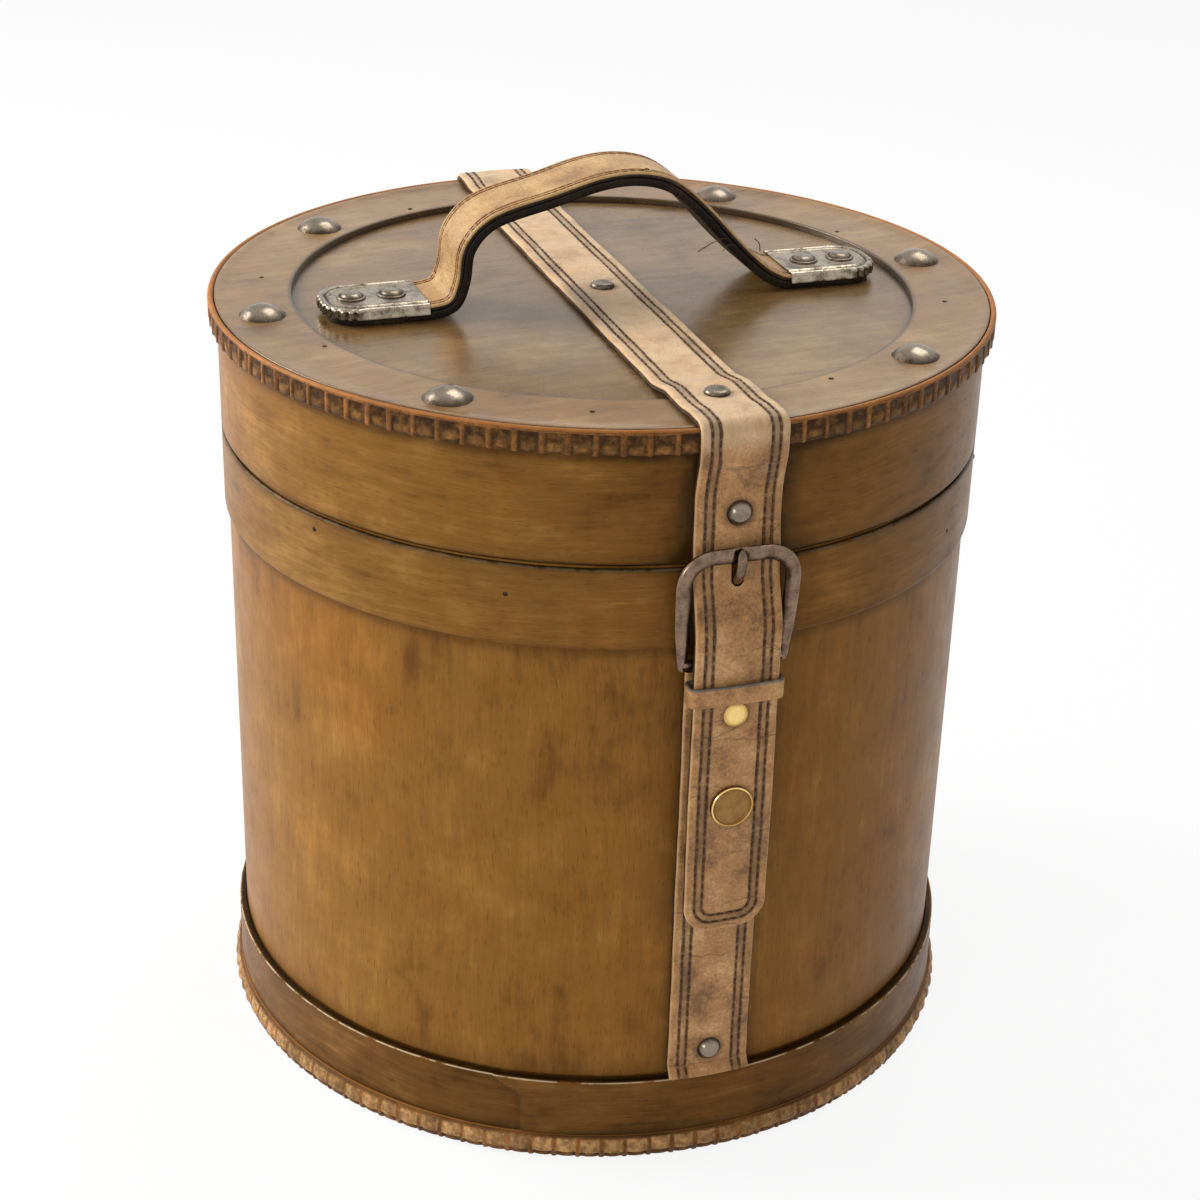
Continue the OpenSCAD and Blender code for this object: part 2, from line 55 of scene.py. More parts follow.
LID_R = 120.0
SHELL_R = 118.6
SHELL_IN = 115.4
SKIRT_IN = 115.95
DRUM_TOP = 203.3
SEAM_Z = 203.6
BOARD_TOP = 242.65
RING_Z = 242.7
RING_TOP = 244.7
RECESS_R = 96.9
RIM_R = 122.65
RIM_TOP = 245.5
STRAP_HALF = 13.0
STRAP_T = 2.2
STITCH_INSETS = (3.0, 5.4)
HANDLE_INSETS = (1.6, 3.2)
LID_GRAIN = math.radians(84)
TAIL_Z = 85.7
TAIL_R = 9.0
BAR_Z = 174.0
BAR_W = 2.5
BUCKLE_TILT = math.atan(2.2 / 33.65)
BUCKLE_REACH = 33.65 / math.cos(BUCKLE_TILT)
HANDLE_HALF = 12.0
CAP_IN_X = 59.0
CAP_OUT_X = 90.5
CAP_TOP = 248.2


def rgb(r, g, b):
    """A colour given as 0 to 255 on screen, as linear numbers."""
    return tuple(((c / 255 + 0.055) / 1.055) ** 2.4 if c > 10 else c / 3294 for c in (r, g, b)) + (1.0,)


def ease(t):
    t = np.clip(t, 0, 1)
    return t * t * (3 - 2 * t)


class Nodes:
    """Puts nodes in a tree. An input that is a socket is linked, and any other is set."""

    def __init__(self, tree):
        self.tree = tree

    def add(self, kind, inputs=None, **settings):
        node = self.tree.nodes.new(kind)
        for key, value in settings.items():
            setattr(node, key, value)
        for key, value in (inputs or {}).items():
            socket = node.inputs[key] if isinstance(key, int) else named(node.inputs, key)
            if isinstance(value, bpy.types.NodeSocket):
                self.tree.links.new(value, socket)
            else:
                socket.default_value = value
        return node

    def get(self, kind, output, inputs=None, **settings):
        return named(self.add(kind, inputs, **settings).outputs, output)

    def math(self, operation, *values, clamp=False):
        return self.add("ShaderNodeMath", dict(enumerate(values)), operation=operation, use_clamp=clamp).outputs[0]

    def vector(self, operation, *values):
        return self.add("ShaderNodeVectorMath", dict(enumerate(values)), operation=operation).outputs[0]

    def scale(self, vector, factor):
        return self.add("ShaderNodeVectorMath", {0: vector, 3: factor}, operation="SCALE").outputs[0]

    def noise(self, vector, scale, detail=2.0, rough=0.5):
        inputs = {"Vector": vector, "Scale": scale, "Detail": detail, "Roughness": rough}
        return self.add("ShaderNodeTexNoise", inputs).outputs[0]

    def fit(self, value, low, high, to_low=0.0, to_high=1.0):
        inputs = {"Value": value, "From Min": low, "From Max": high, "To Min": to_low, "To Max": to_high}
        return self.add("ShaderNodeMapRange", inputs, interpolation_type="SMOOTHSTEP").outputs[0]

    def mix(self, factor, a, b, blend="MIX"):
        inputs = {"Factor": factor, "A": a, "B": b}
        return self.get("ShaderNodeMix", "Result", inputs, data_type="RGBA", blend_type=blend)

    def put(self, value, socket):
        self.tree.links.new(value, socket)


def named(sockets, name):
    """The socket of that name which is in use, as some nodes have several."""
    return next(s for s in sockets if s.name == name and s.enabled)


def new_group(name, kind, inputs, outputs):
    tree = bpy.data.node_groups.new(name, kind)
    for side, sockets in (("INPUT", inputs), ("OUTPUT", outputs)):
        for title, socket_type, *start in sockets:
            socket = tree.interface.new_socket(title, in_out=side, socket_type="NodeSocket" + socket_type)
            if start:
                socket.default_value = start[0]
    given = tree.nodes.new("NodeGroupInput").outputs
    result = tree.nodes.new("NodeGroupOutput").inputs
    return tree, given, result


VARNISH = (1.0, 0.8, 0.58, 1.0)
SURFACE = [("Color", "Color"), ("Roughness", "Float"), ("Height", "Float")]


def make_veneer_group():
    """Wood whose grain runs along Y: streaks, pores, blotches and small dark flecks. A mask darkens it with dirt and
    painted shade, and another lays a painted highlight along edges.
    """
    colours = [(c, "Color") for c in ("Dark", "Mid", "Light")]
    inputs = [("Vector", "Vector"), *colours, ("Streaks", "Float", 1.0), ("Gloss", "Float", 0.35), ("Grime", "Float", 0.0),
              ("Wear", "Float", 0.0)]
    tree, given, result = new_group("veneer", "ShaderNodeTree", inputs, SURFACE)
    n = Nodes(tree)
    place = given["Vector"]
    bend = n.add("ShaderNodeTexNoise", {"Vector": place, "Scale": 7.0, "Detail": 2.0}).outputs[1]
    bent = n.vector("MULTIPLY_ADD", bend, (0.02, 0.0, 0.0), place)
    streak = n.noise(n.vector("MULTIPLY", bent, (1.0, 0.1, 1.0)), 330.0, 4.0, 0.62)
    fine = n.noise(n.vector("MULTIPLY", bent, (1.0, 0.05, 1.0)), 1500.0, 2.0)
    pore = n.fit(n.noise(n.vector("MULTIPLY", bent, (1.0, 0.09, 1.0)), 2300.0, 1.0), 0.62, 0.72)
    blotch = n.noise(n.vector("MULTIPLY", place, (1.25, 0.7, 1.0)), 11.0, 5.0, 0.6)
    cloud = n.noise(n.vector("MULTIPLY", place, (1.1, 0.8, 1.0)), 60.0, 4.0, 0.62)
    tone = n.math("MULTIPLY_ADD", n.math("SUBTRACT", streak, 0.5), given["Streaks"], 0.5)
    tone = n.math("MULTIPLY_ADD", tone, 0.24, n.math("MULTIPLY", blotch, 0.42))
    tone = n.math("MULTIPLY_ADD", cloud, 0.34, tone)
    shade = n.mix(n.fit(tone, 0.36, 0.5), given["Dark"], given["Mid"])
    shade = n.mix(n.fit(tone, 0.49, 0.64), shade, given["Light"])
    warm = n.fit(n.noise(place, 9.0, 3.0, 0.6), 0.45, 0.65, 0.0, 0.55)
    shade = n.mix(warm, shade, (1.0, 0.87, 0.68, 1.0), "MULTIPLY")
    hair = n.math("MULTIPLY_ADD", n.math("SUBTRACT", fine, 0.5), n.math("MULTIPLY", given["Streaks"], 0.5), 1.0)
    shade = n.scale(shade, hair)
    deep = n.scale(given["Dark"], 0.35)
    shade = n.mix(n.math("MULTIPLY", pore, 0.35), shade, deep)
    spot = n.add("ShaderNodeTexVoronoi", {"Vector": n.vector("MULTIPLY", bent, (1.0, 0.36, 1.0)), "Scale": 30.0})
    chosen = n.fit(n.get("ShaderNodeSeparateColor", "Red", {"Color": spot.outputs["Color"]}), 0.7, 0.74)
    fleck = n.math("MULTIPLY", n.fit(spot.outputs["Distance"], 0.014, 0.04, 1.0, 0.0), chosen)
    halo = n.math("MULTIPLY", n.fit(spot.outputs["Distance"], 0.02, 0.16, 0.25, 0.0), chosen)
    shade = n.mix(halo, shade, given["Dark"])
    shade = n.mix(n.math("MULTIPLY", fleck, 0.8), shade, deep)
    # Dirt and painted shade: the mask given darkens the wood towards its deep tone.
    grime = n.math("MULTIPLY", given["Grime"], n.fit(n.noise(place, 60.0, 4.0, 0.65), 0.25, 0.6, 0.55, 1.0))
    shade = n.mix(n.math("MULTIPLY", grime, 0.85, clamp=True), shade, deep)
    # Painted highlight: a pale, broken line where the edge highlight mask is set.
    glint = n.math("MULTIPLY", given["Wear"], n.fit(n.noise(place, 150.0, 3.0, 0.65), 0.4, 0.55), clamp=True)
    shade = n.mix(glint, shade, rgb(192, 170, 136))
    n.put(shade, result["Color"])
    dull = n.math("MULTIPLY_ADD", n.math("SUBTRACT", n.noise(place, 90.0, 4.0, 0.6), 0.5), 0.22, given["Gloss"])
    n.put(n.math("MULTIPLY_ADD", pore, 0.1, dull), result["Roughness"])
    wave = n.math("MULTIPLY", n.noise(place, 24.0, 1.0), 3.0)
    height = n.math("MULTIPLY_ADD", streak, 0.6, wave)
    height = n.math("MULTIPLY_ADD", fine, 0.18, height)
    n.put(n.math("MULTIPLY_ADD", pore, -0.3, height), result["Height"])
    return tree


def make_leather_group():
    """Worn leather: fine grain, blotches, pale scuffs and creases across. Across is X, along is Y."""
    colours = [(c, "Color") for c in ("Dark", "Mid", "Light")]
    inputs = [("Vector", "Vector"), *colours, ("Creases", "Float", 1.0), ("Grime", "Float", 0.0)]
    tree, given, result = new_group("leather", "ShaderNodeTree", inputs, SURFACE)
    n = Nodes(tree)
    place = given["Vector"]
    grain = n.add("ShaderNodeTexVoronoi", {"Vector": place, "Scale": 1500.0}).outputs["Distance"]
    fibre = n.noise(place, 900.0, 3.0, 0.65)
    blotch = n.noise(place, 75.0, 5.0, 0.62)
    scuff = n.fit(n.noise(n.vector("MULTIPLY", place, (1.0, 0.6, 1.0)), 330.0, 4.0, 0.7), 0.52, 0.72)
    bend = n.add("ShaderNodeTexNoise", {"Vector": place, "Scale": 120.0, "Detail": 3.0}).outputs[1]
    bent = n.vector("MULTIPLY_ADD", bend, (0.003, 0.006, 0.0), place)
    cells = n.vector("MULTIPLY", bent, (0.13, 1.0, 1.0))
    line = n.add("ShaderNodeTexVoronoi", {"Vector": cells, "Scale": 95.0}, feature="DISTANCE_TO_EDGE").outputs[0]
    small = n.vector("MULTIPLY", bent, (0.75, 1.0, 1.0))
    web = n.add("ShaderNodeTexVoronoi", {"Vector": small, "Scale": 190.0}, feature="DISTANCE_TO_EDGE").outputs[0]
    crease = n.math("MULTIPLY", n.fit(line, 0.0, 0.024, 1.0, 0.0), n.fit(n.noise(place, 48.0, 2.0), 0.44, 0.6))
    webbed = n.math("MULTIPLY", n.fit(web, 0.0, 0.05, 1.0, 0.0), n.fit(n.noise(place, 42.0, 2.0), 0.56, 0.7))
    crack = n.math("MULTIPLY", n.math("MAXIMUM", crease, n.math("MULTIPLY", webbed, 0.45)), given["Creases"])
    tone = n.math("MULTIPLY_ADD", fibre, 0.3, n.math("MULTIPLY", blotch, 0.7))
    shade = n.mix(n.fit(tone, 0.36, 0.52), given["Dark"], given["Mid"])
    shade = n.mix(n.fit(tone, 0.5, 0.66), shade, given["Light"])
    shade = n.mix(n.math("MULTIPLY", scuff, 0.35), shade, given["Light"])
    deep = n.scale(given["Dark"], 0.3)
    shade = n.mix(n.math("MULTIPLY", crack, 0.42), shade, deep)
    shade = n.mix(n.fit(grain, 0.45, 0.9, 0.0, 0.16), shade, deep)
    # Dirt and painted shade: the mask given darkens the leather.
    shade = n.mix(n.math("MULTIPLY", given["Grime"], 0.85, clamp=True), shade, deep)
    n.put(shade, result["Color"])
    n.put(n.math("MULTIPLY_ADD", n.math("SUBTRACT", blotch, 0.5), 0.3, 0.55), result["Roughness"])
    height = n.math("MULTIPLY_ADD", fibre, 0.5, n.math("MULTIPLY", blotch, 1.2))
    height = n.math("MULTIPLY_ADD", grain, -0.45, height)
    n.put(n.math("MULTIPLY_ADD", crack, -0.9, height), result["Height"])
    return tree


def make_metal_group():
    """Worn plated metal: tarnish, and painted shade, from the mask given, small dents and hair scratches."""
    inputs = [("Vector", "Vector"), ("Bright", "Color"), ("Tarnish", "Color"), ("Amount", "Float", 0.4), ("Hollow", "Float", 0.0)]
    tree, given, result = new_group("worn metal", "ShaderNodeTree", inputs, SURFACE)
    n = Nodes(tree)
    place = given["Vector"]
    patch = n.noise(place, 240.0, 6.0, 0.68)
    speck = n.noise(place, 1500.0, 3.0, 0.6)
    scratch = n.noise(n.vector("MULTIPLY", place, (1.0, 0.12, 0.4)), 2600.0, 2.0)
    tarnish = n.math("ADD", n.fit(patch, 0.4, 0.68, 0.0, 1.0), n.fit(speck, 0.52, 0.72, 0.0, 0.5))
    tarnish = n.math("MULTIPLY", tarnish, given["Amount"])
    # The mask given adds tarnish in hollows, and painted shade on dome rims, the buckle's inner side and the snap's far
    # side.
    tarnish = n.math("ADD", tarnish, given["Hollow"], clamp=True)
    n.put(n.mix(tarnish, given["Bright"], given["Tarnish"]), result["Color"])
    n.put(n.math("MULTIPLY_ADD", tarnish, 0.28, n.fit(scratch, 0.2, 0.8, 0.14, 0.28)), result["Roughness"])
    height = n.math("MULTIPLY_ADD", n.noise(place, 420.0, 2.0), 1.6, n.math("MULTIPLY", scratch, 0.15))
    n.put(n.math("MULTIPLY_ADD", patch, 0.35, height), result["Height"])
    return tree


VENEER = make_veneer_group()
LEATHER = make_leather_group()
METAL = make_metal_group()


def principled(name, **values):
    """A new material and its Principled BSDF, with what is the same all over set on its sockets."""
    material = bpy.data.materials.new(name)
    material.use_nodes = True
    shader = next(x for x in material.node_tree.nodes if x.type == "BSDF_PRINCIPLED")
    for key, value in values.items():
        shader.inputs[key.replace("_", " ")].default_value = value
    return material, shader, Nodes(material.node_tree)


def surface(shader, n, group, inputs, bump, colour=None):
    """Feeds a surface group into the shader. colour may be a function that changes its colour."""
    made = n.add("ShaderNodeGroup", inputs, node_tree=group)
    shade = made.outputs["Color"]
    if colour:
        shade = colour(n, shade)
    n.put(shade, shader.inputs["Base Color"])
    n.put(made.outputs["Roughness"], shader.inputs["Roughness"])
    relief = n.add("ShaderNodeBump", {"Strength": 1.0, "Distance": bump, "Height": made.outputs["Height"]})
    n.put(relief.outputs[0], shader.inputs["Normal"])


def wrap_place(n, grain):
    """Where a point is on the piece's own flat pattern, turned so that the grain runs along Y."""
    place = n.get("ShaderNodeUVMap", "UV", uv_map="wrap")
    if grain == "round":
        place = n.get("ShaderNodeMapping", "Vector", {"Vector": place, "Rotation": (0.0, 0.0, math.pi / 2)})
    return place


def object_place(n, turn=(0.0, 0.0, 0.0)):
    place = n.get("ShaderNodeTexCoord", "Object")
    return n.get("ShaderNodeMapping", "Vector", {"Vector": place, "Rotation": turn})


def attribute(n, name):
    return n.get("ShaderNodeAttribute", "Fac", attribute_name=name)


def wood(name, dark, mid, light, grain, gloss=0.35, streaks=1.0, specular=0.3, bump=0.00007, turn=0.0):
    material, shader, n = principled(name, Specular_IOR_Level=specular, Specular_Tint=VARNISH)
    place = object_place(n, (0.0, 0.0, turn)) if grain == "across" else wrap_place(n, grain)
    darkening = attribute(n, "grime")
    # Painted shade: a dark band along each side of the strap where it lies across the lid.
    if turn:
        side = n.get("ShaderNodeSeparateXYZ", "X", {"Vector": n.get("ShaderNodeTexCoord", "Object")})
        darkening = n.math("ADD", darkening, n.fit(n.math("ABSOLUTE", side), 0.0128, 0.0175, 0.7, 0.0))
    inputs = {"Vector": place, "Dark": rgb(*dark), "Mid": rgb(*mid), "Light": rgb(*light),
              "Gloss": gloss, "Streaks": streaks, "Grime": darkening, "Wear": attribute(n, "wear")}
    surface(shader, n, VENEER, inputs, bump)
    return material


def stitched_leather(name, dark, mid, light, line, creases=1.0, bump=0.00022, at=STITCH_INSETS, zone=0.3):
    """Leather with two dark lines along each edge and a pale cut edge, by the inset attribute in mm. The pale edge also
    carries a painted highlight, and the run over the lid is paler with dust and a painted sheen.
    """
    material, shader, n = principled(name, Specular_IOR_Level=0.7, Specular_Tint=VARNISH, Sheen_Weight=0.08, Sheen_Roughness=0.5)
    inset = attribute(n, "inset")
    place = wrap_place(n, "up")
    wander = n.math("MULTIPLY", n.math("SUBTRACT", n.noise(place, 160.0, 2.0), 0.5), 0.7)
    inset = n.math("ADD", inset, wander)

    def lines(n, shade):
        ink = None
        for middle in at:
            off = n.math("ABSOLUTE", n.math("SUBTRACT", inset, middle))
            band = n.fit(off, 0.25, 0.75, 1.0, 0.0)
            ink = band if ink is None else n.math("MAXIMUM", ink, band)
        rub = n.fit(n.noise(place, 210.0, 3.0, 0.6), 0.32, 0.62, 0.5, 0.96)
        soiled = n.fit(n.noise(place, 90.0, 4.0, 0.65), 0.35, 0.62, 0.25, 1.0)
        dust_and_sheen = n.fit(n.noise(place, 85.0, 5.0, 0.65), 0.34, 0.62, 0.32, 0.64)
        # Over the lid the strap is paler: dust and a painted sheen, in patches.
        shade = n.mix(n.math("MULTIPLY", attribute(n, "pale"), dust_and_sheen), shade, rgb(224, 196, 158))
        between = n.fit(n.math("ABSOLUTE", n.math("SUBTRACT", inset, sum(at) / 2)), at[1] - at[0], 0.6, 0.0, zone)
        shade = n.mix(n.math("MULTIPLY", between, soiled), shade, rgb(*line))
        # A pale cut edge, which also stands in for a painted highlight along it.
        shade = n.mix(n.fit(inset, 0.1, 0.6, 0.6, 0.0), shade, rgb(*light))
        return n.mix(n.math("MULTIPLY", ink, rub), shade, rgb(*line))

    inputs = {"Vector": place, "Dark": rgb(*dark), "Mid": rgb(*mid), "Light": rgb(*light),
              "Creases": creases, "Grime": attribute(n, "grime")}
    surface(shader, n, LEATHER, inputs, bump, lines)
    return material


def leather(name, dark, mid, light, creases=0.4, bump=0.0002, specular=0.4):
    material, shader, n = principled(name, Specular_IOR_Level=specular)
    inputs = {"Vector": object_place(n), "Dark": rgb(*dark), "Mid": rgb(*mid), "Light": rgb(*light),
              "Creases": creases, "Grime": attribute(n, "grime")}
    surface(shader, n, LEATHER, inputs, bump)
    return material


def metal(name, bright, tarnish, amount, bump=0.00005):
    material, shader, n = principled(name, Metallic=1.0)
    inputs = {"Vector": object_place(n), "Bright": rgb(*bright), "Tarnish": rgb(*tarnish),
              "Amount": amount, "Hollow": attribute(n, "hollow")}
    surface(shader, n, METAL, inputs, bump)
    return material


def moulded_wood(name, tile, rib, deep, bump=0.00012):
    """Embossed moulding: tiles between ribs, with painted shade in the hollows, from the attributes of its cells. The
    bead's top is paler, with a painted highlight.
    """
    material, shader, n = principled(name, Specular_IOR_Level=0.15, Specular_Tint=VARNISH)

    def paint(n, shade):
        place = object_place(n)
        chip = n.fit(n.noise(place, 520.0, 4.0, 0.7), 0.4, 0.6)
        tint = n.fit(n.noise(place, 60.0, 2.0), 0.35, 0.65, 0.62, 1.12)
        shade = n.scale(n.mix(n.math("MULTIPLY", chip, 0.6), shade, rgb(*(c * 0.55 for c in rib))), tint)
        face = n.mix(n.fit(n.noise(place, 430.0, 4.0, 0.7), 0.38, 0.66), rgb(*(c * 0.7 for c in tile)), rgb(*tile))
        face = n.scale(face, n.fit(attribute(n, "tint"), 0.0, 1.0, 0.7, 1.15))
        # Painted highlight: the bead's top, above up 0.9, is paler.
        shade = n.mix(n.fit(attribute(n, "up"), 0.9, 0.95, 0.0, 0.6), shade, rgb(*(c * 1.14 for c in rib)))
        shade = n.mix(attribute(n, "tile"), shade, face)
        # Painted shade in the pressed hollows, in patches.
        painted_light = n.fit(n.noise(place, 380.0, 4.0, 0.7), 0.35, 0.6, 0.5, 1.0)
        return n.mix(n.math("MULTIPLY", attribute(n, "hollow"), painted_light), shade, rgb(*deep))

    light = tuple(min(255, c + 28) for c in rib)
    dark = tuple(c * 0.68 for c in rib)
    inputs = {"Vector": wrap_place(n, "round"), "Dark": rgb(*dark), "Mid": rgb(*rib), "Light": rgb(*light),
              "Gloss": 0.45, "Streaks": 0.6, "Grime": attribute(n, "grime")}
    surface(shader, n, VENEER, inputs, bump, paint)
    return material


def thread(name, dark, light):
    material, shader, n = principled(name, Specular_IOR_Level=0.25, Roughness=0.7)
    twist = n.fit(n.noise(object_place(n), 1400.0, 2.0), 0.35, 0.65)
    n.put(n.mix(twist, rgb(*dark), rgb(*light)), shader.inputs["Base Color"])
    relief = n.add("ShaderNodeBump", {"Distance": 0.00006, "Height": twist})
    n.put(relief.outputs[0], shader.inputs["Normal"])
    return material


DRUM_WOOD = wood("drum veneer", (104, 67, 25), (140, 95, 39), (163, 116, 54), "up", 0.36, 0.8, 0.12)
HOOP_WOOD = wood("hoop veneer", (92, 61, 24), (128, 88, 37), (156, 113, 56), "round", 0.36, 1.0, 0.12)
SKIRT_WOOD = wood("skirt veneer", (98, 63, 22), (135, 92, 38), (168, 123, 63), "round", 0.36, 0.9, 0.12)
FOOT_WOOD = wood("foot hoop veneer", (72, 46, 16), (108, 72, 30), (144, 103, 52), "round", 0.38, 0.9, 0.1)
LID_WOOD = wood("lid veneer", (74, 50, 25), (113, 84, 47), (144, 114, 70), "across", 0.27, 1.0, 0.9, 0.000013, LID_GRAIN)
RING_WOOD = wood("ring veneer", (92, 65, 35), (130, 97, 57), (157, 125, 81), "across", 0.3, 1.0, 0.75, 0.000015, LID_GRAIN)
PLAIN_WOOD = wood("plain ply", (150, 112, 70), (182, 143, 96), (204, 168, 122), "up", 0.6, 1.0, 0.3)
BASE_WOOD = wood("base board", (140, 104, 64), (172, 133, 88), (196, 160, 114), "across", 0.6)
# The last colour of each moulding is the painted shade in its hollows.
RIM_MOULD = moulded_wood("rim moulding", (160, 110, 57), (157, 101, 51), (54, 33, 17))
FOOT_MOULD = moulded_wood("foot moulding", (200, 152, 98), (160, 107, 56), (34, 20, 10))
STRAP_LEATHER = stitched_leather("strap leather", (116, 79, 44), (172, 124, 75), (208, 164, 113), (58, 34, 17), zone=0.5)
# The strap's side walls, darker than the leather's own edge colour: partly its dark edge, partly painted shade along
# the strap's sides. The fold round the buckle's bar uses it too.
STRAP_EDGE = leather("strap edge", (36, 24, 16), (62, 44, 31), (112, 88, 66))
KEEPER_LEATHER = leather("keeper leather", (140, 96, 54), (184, 134, 82), (212, 168, 112))
KEEPER_EDGE = leather("painted edge", (86, 76, 68), (122, 110, 100), (156, 144, 132), 0.2)
HANDLE_LEATHER = stitched_leather("handle leather", (136, 97, 54), (176, 136, 82), (202, 165, 112), (92, 57, 26), 0.5,
                                  at=HANDLE_INSETS, zone=0.15)
HANDLE_EDGE = leather("handle edge", (18, 13, 9), (38, 27, 18), (92, 66, 42))
BLACK_LEATHER = leather("black leather", (9, 6, 4), (24, 17, 12), (58, 44, 31), 0.2, specular=0.2)
NICKEL = metal("old nickel", (140, 128, 112), (62, 50, 38), 0.4)
CAP_NICKEL = metal("cap nickel", (168, 155, 136), (52, 43, 34), 0.7)
BRASS = metal("bright brass", (238, 206, 132), (196, 152, 78), 0.2)
DARK_BRASS = metal("old brass", (150, 114, 66), (118, 86, 48), 0.45)
BRONZE = metal("dark bronze", (138, 114, 95), (58, 43, 34), 0.55)
IRON = metal("dark iron", (62, 48, 38), (32, 24, 18), 0.8)
STRAP_THREAD = thread("strap thread", (56, 34, 18), (104, 70, 42))
HANDLE_THREAD = thread("handle thread", (128, 80, 38), (170, 118, 66))


def add_object(name, mesh):
    obj = bpy.data.objects.new(name, mesh)
    bpy.context.scene.collection.objects.link(obj)
    return obj


def add_mesh(name, points, faces, materials, uvs=None, slots=None, floats=None, sharp=40.0):
    """A mesh piece from points and pattern places in mm. Doubled points, as at poles, are merged."""
    mesh = bpy.data.meshes.new(name)
    mesh.from_pydata((np.asarray(points, float).reshape(-1, 3) * MM).tolist(), [], faces)
    if uvs is not None:
        layer = mesh.uv_layers.new(name="wrap")
        layer.data.foreach_set("uv", np.asarray(uvs, np.float32).ravel() * MM)
    for material in materials:
        mesh.materials.append(material)
    if slots is not None:
        mesh.polygons.foreach_set("material_index", slots)
    for key, values in (floats or {}).items():
        values = np.asarray(values, np.float32).ravel()
        mesh.attributes.new(key, "FLOAT", "POINT").data.foreach_set("value", values)
    tidy = bmesh.new()
    tidy.from_mesh(mesh)
    bmesh.ops.remove_doubles(tidy, verts=tidy.verts, dist=2e-6)
    bmesh.ops.recalc_face_normals(tidy, faces=tidy.faces)
    tidy.to_mesh(mesh)
    tidy.free()
    mesh.shade_smooth()
    mesh.set_sharp_from_angle(angle=math.radians(sharp))
    return add_object(name, mesh)


def corner_uvs(i, j, pattern):
    return [pattern[i, j], pattern[i + 1, j], pattern[i + 1, j + 1], pattern[i, j + 1]]


def skin(name, loops, materials, pattern, ring=False, slot_of=None, floats=None, sharp=40.0):
    """Closed loops of points joined one to the next. A ring joins the last to the first; else ends are closed."""
    loops = np.asarray(loops, float)
    count, size = loops.shape[:2]
    faces, uvs, slots = [], [], []
    for i in range(count if ring else count - 1):
        here, there = i * size, (i + 1) % count * size
        for j in range(size):
            k = (j + 1) % size
            faces.append((here + j, there + j, there + k, here + k))
            uvs += corner_uvs(i, j, pattern)
            slots.append(slot_of(i, j) if slot_of else 0)
    if not ring:
        for i in (0, count - 1):
            faces.append(tuple(i * size + j for j in range(size)))
            uvs += [pattern[i, j] for j in range(size)]
            slots.append(0)
    return add_mesh(name, loops, faces, materials, uvs, slots, floats, sharp)


def turned(name, profile, materials, segments=256, fractions=None, slot_of=None, wobble=0.0, grime=None, up=None,
           lift=None, floats=None, sharp=40.0, darkening=None):
    """A ring or solid turned on the Z axis from a closed profile of [radius, height]. Its seam is at the back."""
    profile = np.asarray(profile, float)
    part = np.arange(segments) / segments if fractions is None else np.asarray(fractions, float)
    angle = math.pi / 2 + 2 * math.pi * part
    radius = np.repeat(profile[None, :, 0], len(part), 0)
    if wobble:
        ripple = np.sin(3 * angle + 0.7) + 0.6 * np.sin(7 * angle + 2.1) + 0.4 * np.sin(12 * angle + 4.0)
        radius = radius + wobble * ripple[:, None] * (profile[None, :, 0] > 0.97 * profile[:, 0].max())
    if lift is not None:
        radius = radius + lift(angle[:, None], profile[None, :, 1], radius)
    height = np.repeat(profile[None, :, 1], len(part), 0)
    loops = np.stack([radius * np.cos(angle)[:, None], radius * np.sin(angle)[:, None], height], 2)
    closed = np.vstack([profile, profile[:1]])
    run = profile[0, 1] + np.concatenate([[0], np.cumsum(np.linalg.norm(np.diff(closed, axis=0), axis=1))])
    turns = np.concatenate([part, [1.0]]) * 2 * math.pi * profile[:, 0].max()
    pattern = np.stack(np.meshgrid(turns, run, indexing="ij"), 2)
    kept = dict(floats or {})
    if grime is not None:
        kept["grime"] = np.repeat(np.asarray(grime, float)[None], len(part), 0)
    if darkening is not None:
        kept["grime"] = kept["grime"] + darkening(angle[:, None], height) * (radius > profile[:, 0].max() - 1.5)
    if up is not None:
        kept["up"] = np.repeat(np.asarray(up, float)[None], len(part), 0)
        kept["around"] = np.repeat(part[:, None], len(profile), 1)
    picker = (lambda i, j: slot_of[j]) if slot_of is not None else None
    return skin(name, loops, materials, pattern, True, picker, kept, sharp)


def slab(name, top, under, materials, pattern, keep=None, floats=None, sharp=50.0, open_sides=()):
    """Two grids of points joined by a wall round what is kept. The top takes the first material."""
    rows, cols = top.shape[:2]
    points = np.concatenate([top.reshape(-1, 3), under.reshape(-1, 3)])
    keep = np.ones((rows - 1, cols - 1), bool) if keep is None else keep
    low = rows * cols
    faces, uvs, slots = [], [], []

    def kept(i, j):
        inside = 0 <= i < rows - 1 and 0 <= j < cols - 1
        return keep[i, j] if inside else (("i" if not 0 <= i < rows - 1 else "j") + "-+"[i > 0 and j > 0]) in open_sides

    for i in range(rows - 1):
        for j in range(cols - 1):
            if not keep[i, j]:
                continue
            square = [(i, j), (i + 1, j), (i + 1, j + 1), (i, j + 1)]
            ids = [a * cols + b for a, b in square]
            places = [pattern[a, b] for a, b in square]
            faces += [tuple(ids), tuple(low + x for x in reversed(ids))]
            uvs += places + places[::-1]
            slots += [0, len(materials) - 1]
            for side, (di, dj) in enumerate(((0, -1), (1, 0), (0, 1), (-1, 0))):
                if kept(i + di, j + dj):
                    continue
                a, b = ids[side], ids[(side + 1) % 4]
                faces.append((a, low + a, low + b, b))
                ends = [places[side], places[(side + 1) % 4]]
                uvs += [ends[0], ends[0], ends[1], ends[1]]
                slots.append(len(materials) - 1)
    doubled = {key: np.concatenate([np.ravel(v), np.ravel(v)]) for key, v in (floats or {}).items()}
    return add_mesh(name, points, faces, materials, uvs, slots, doubled, sharp)


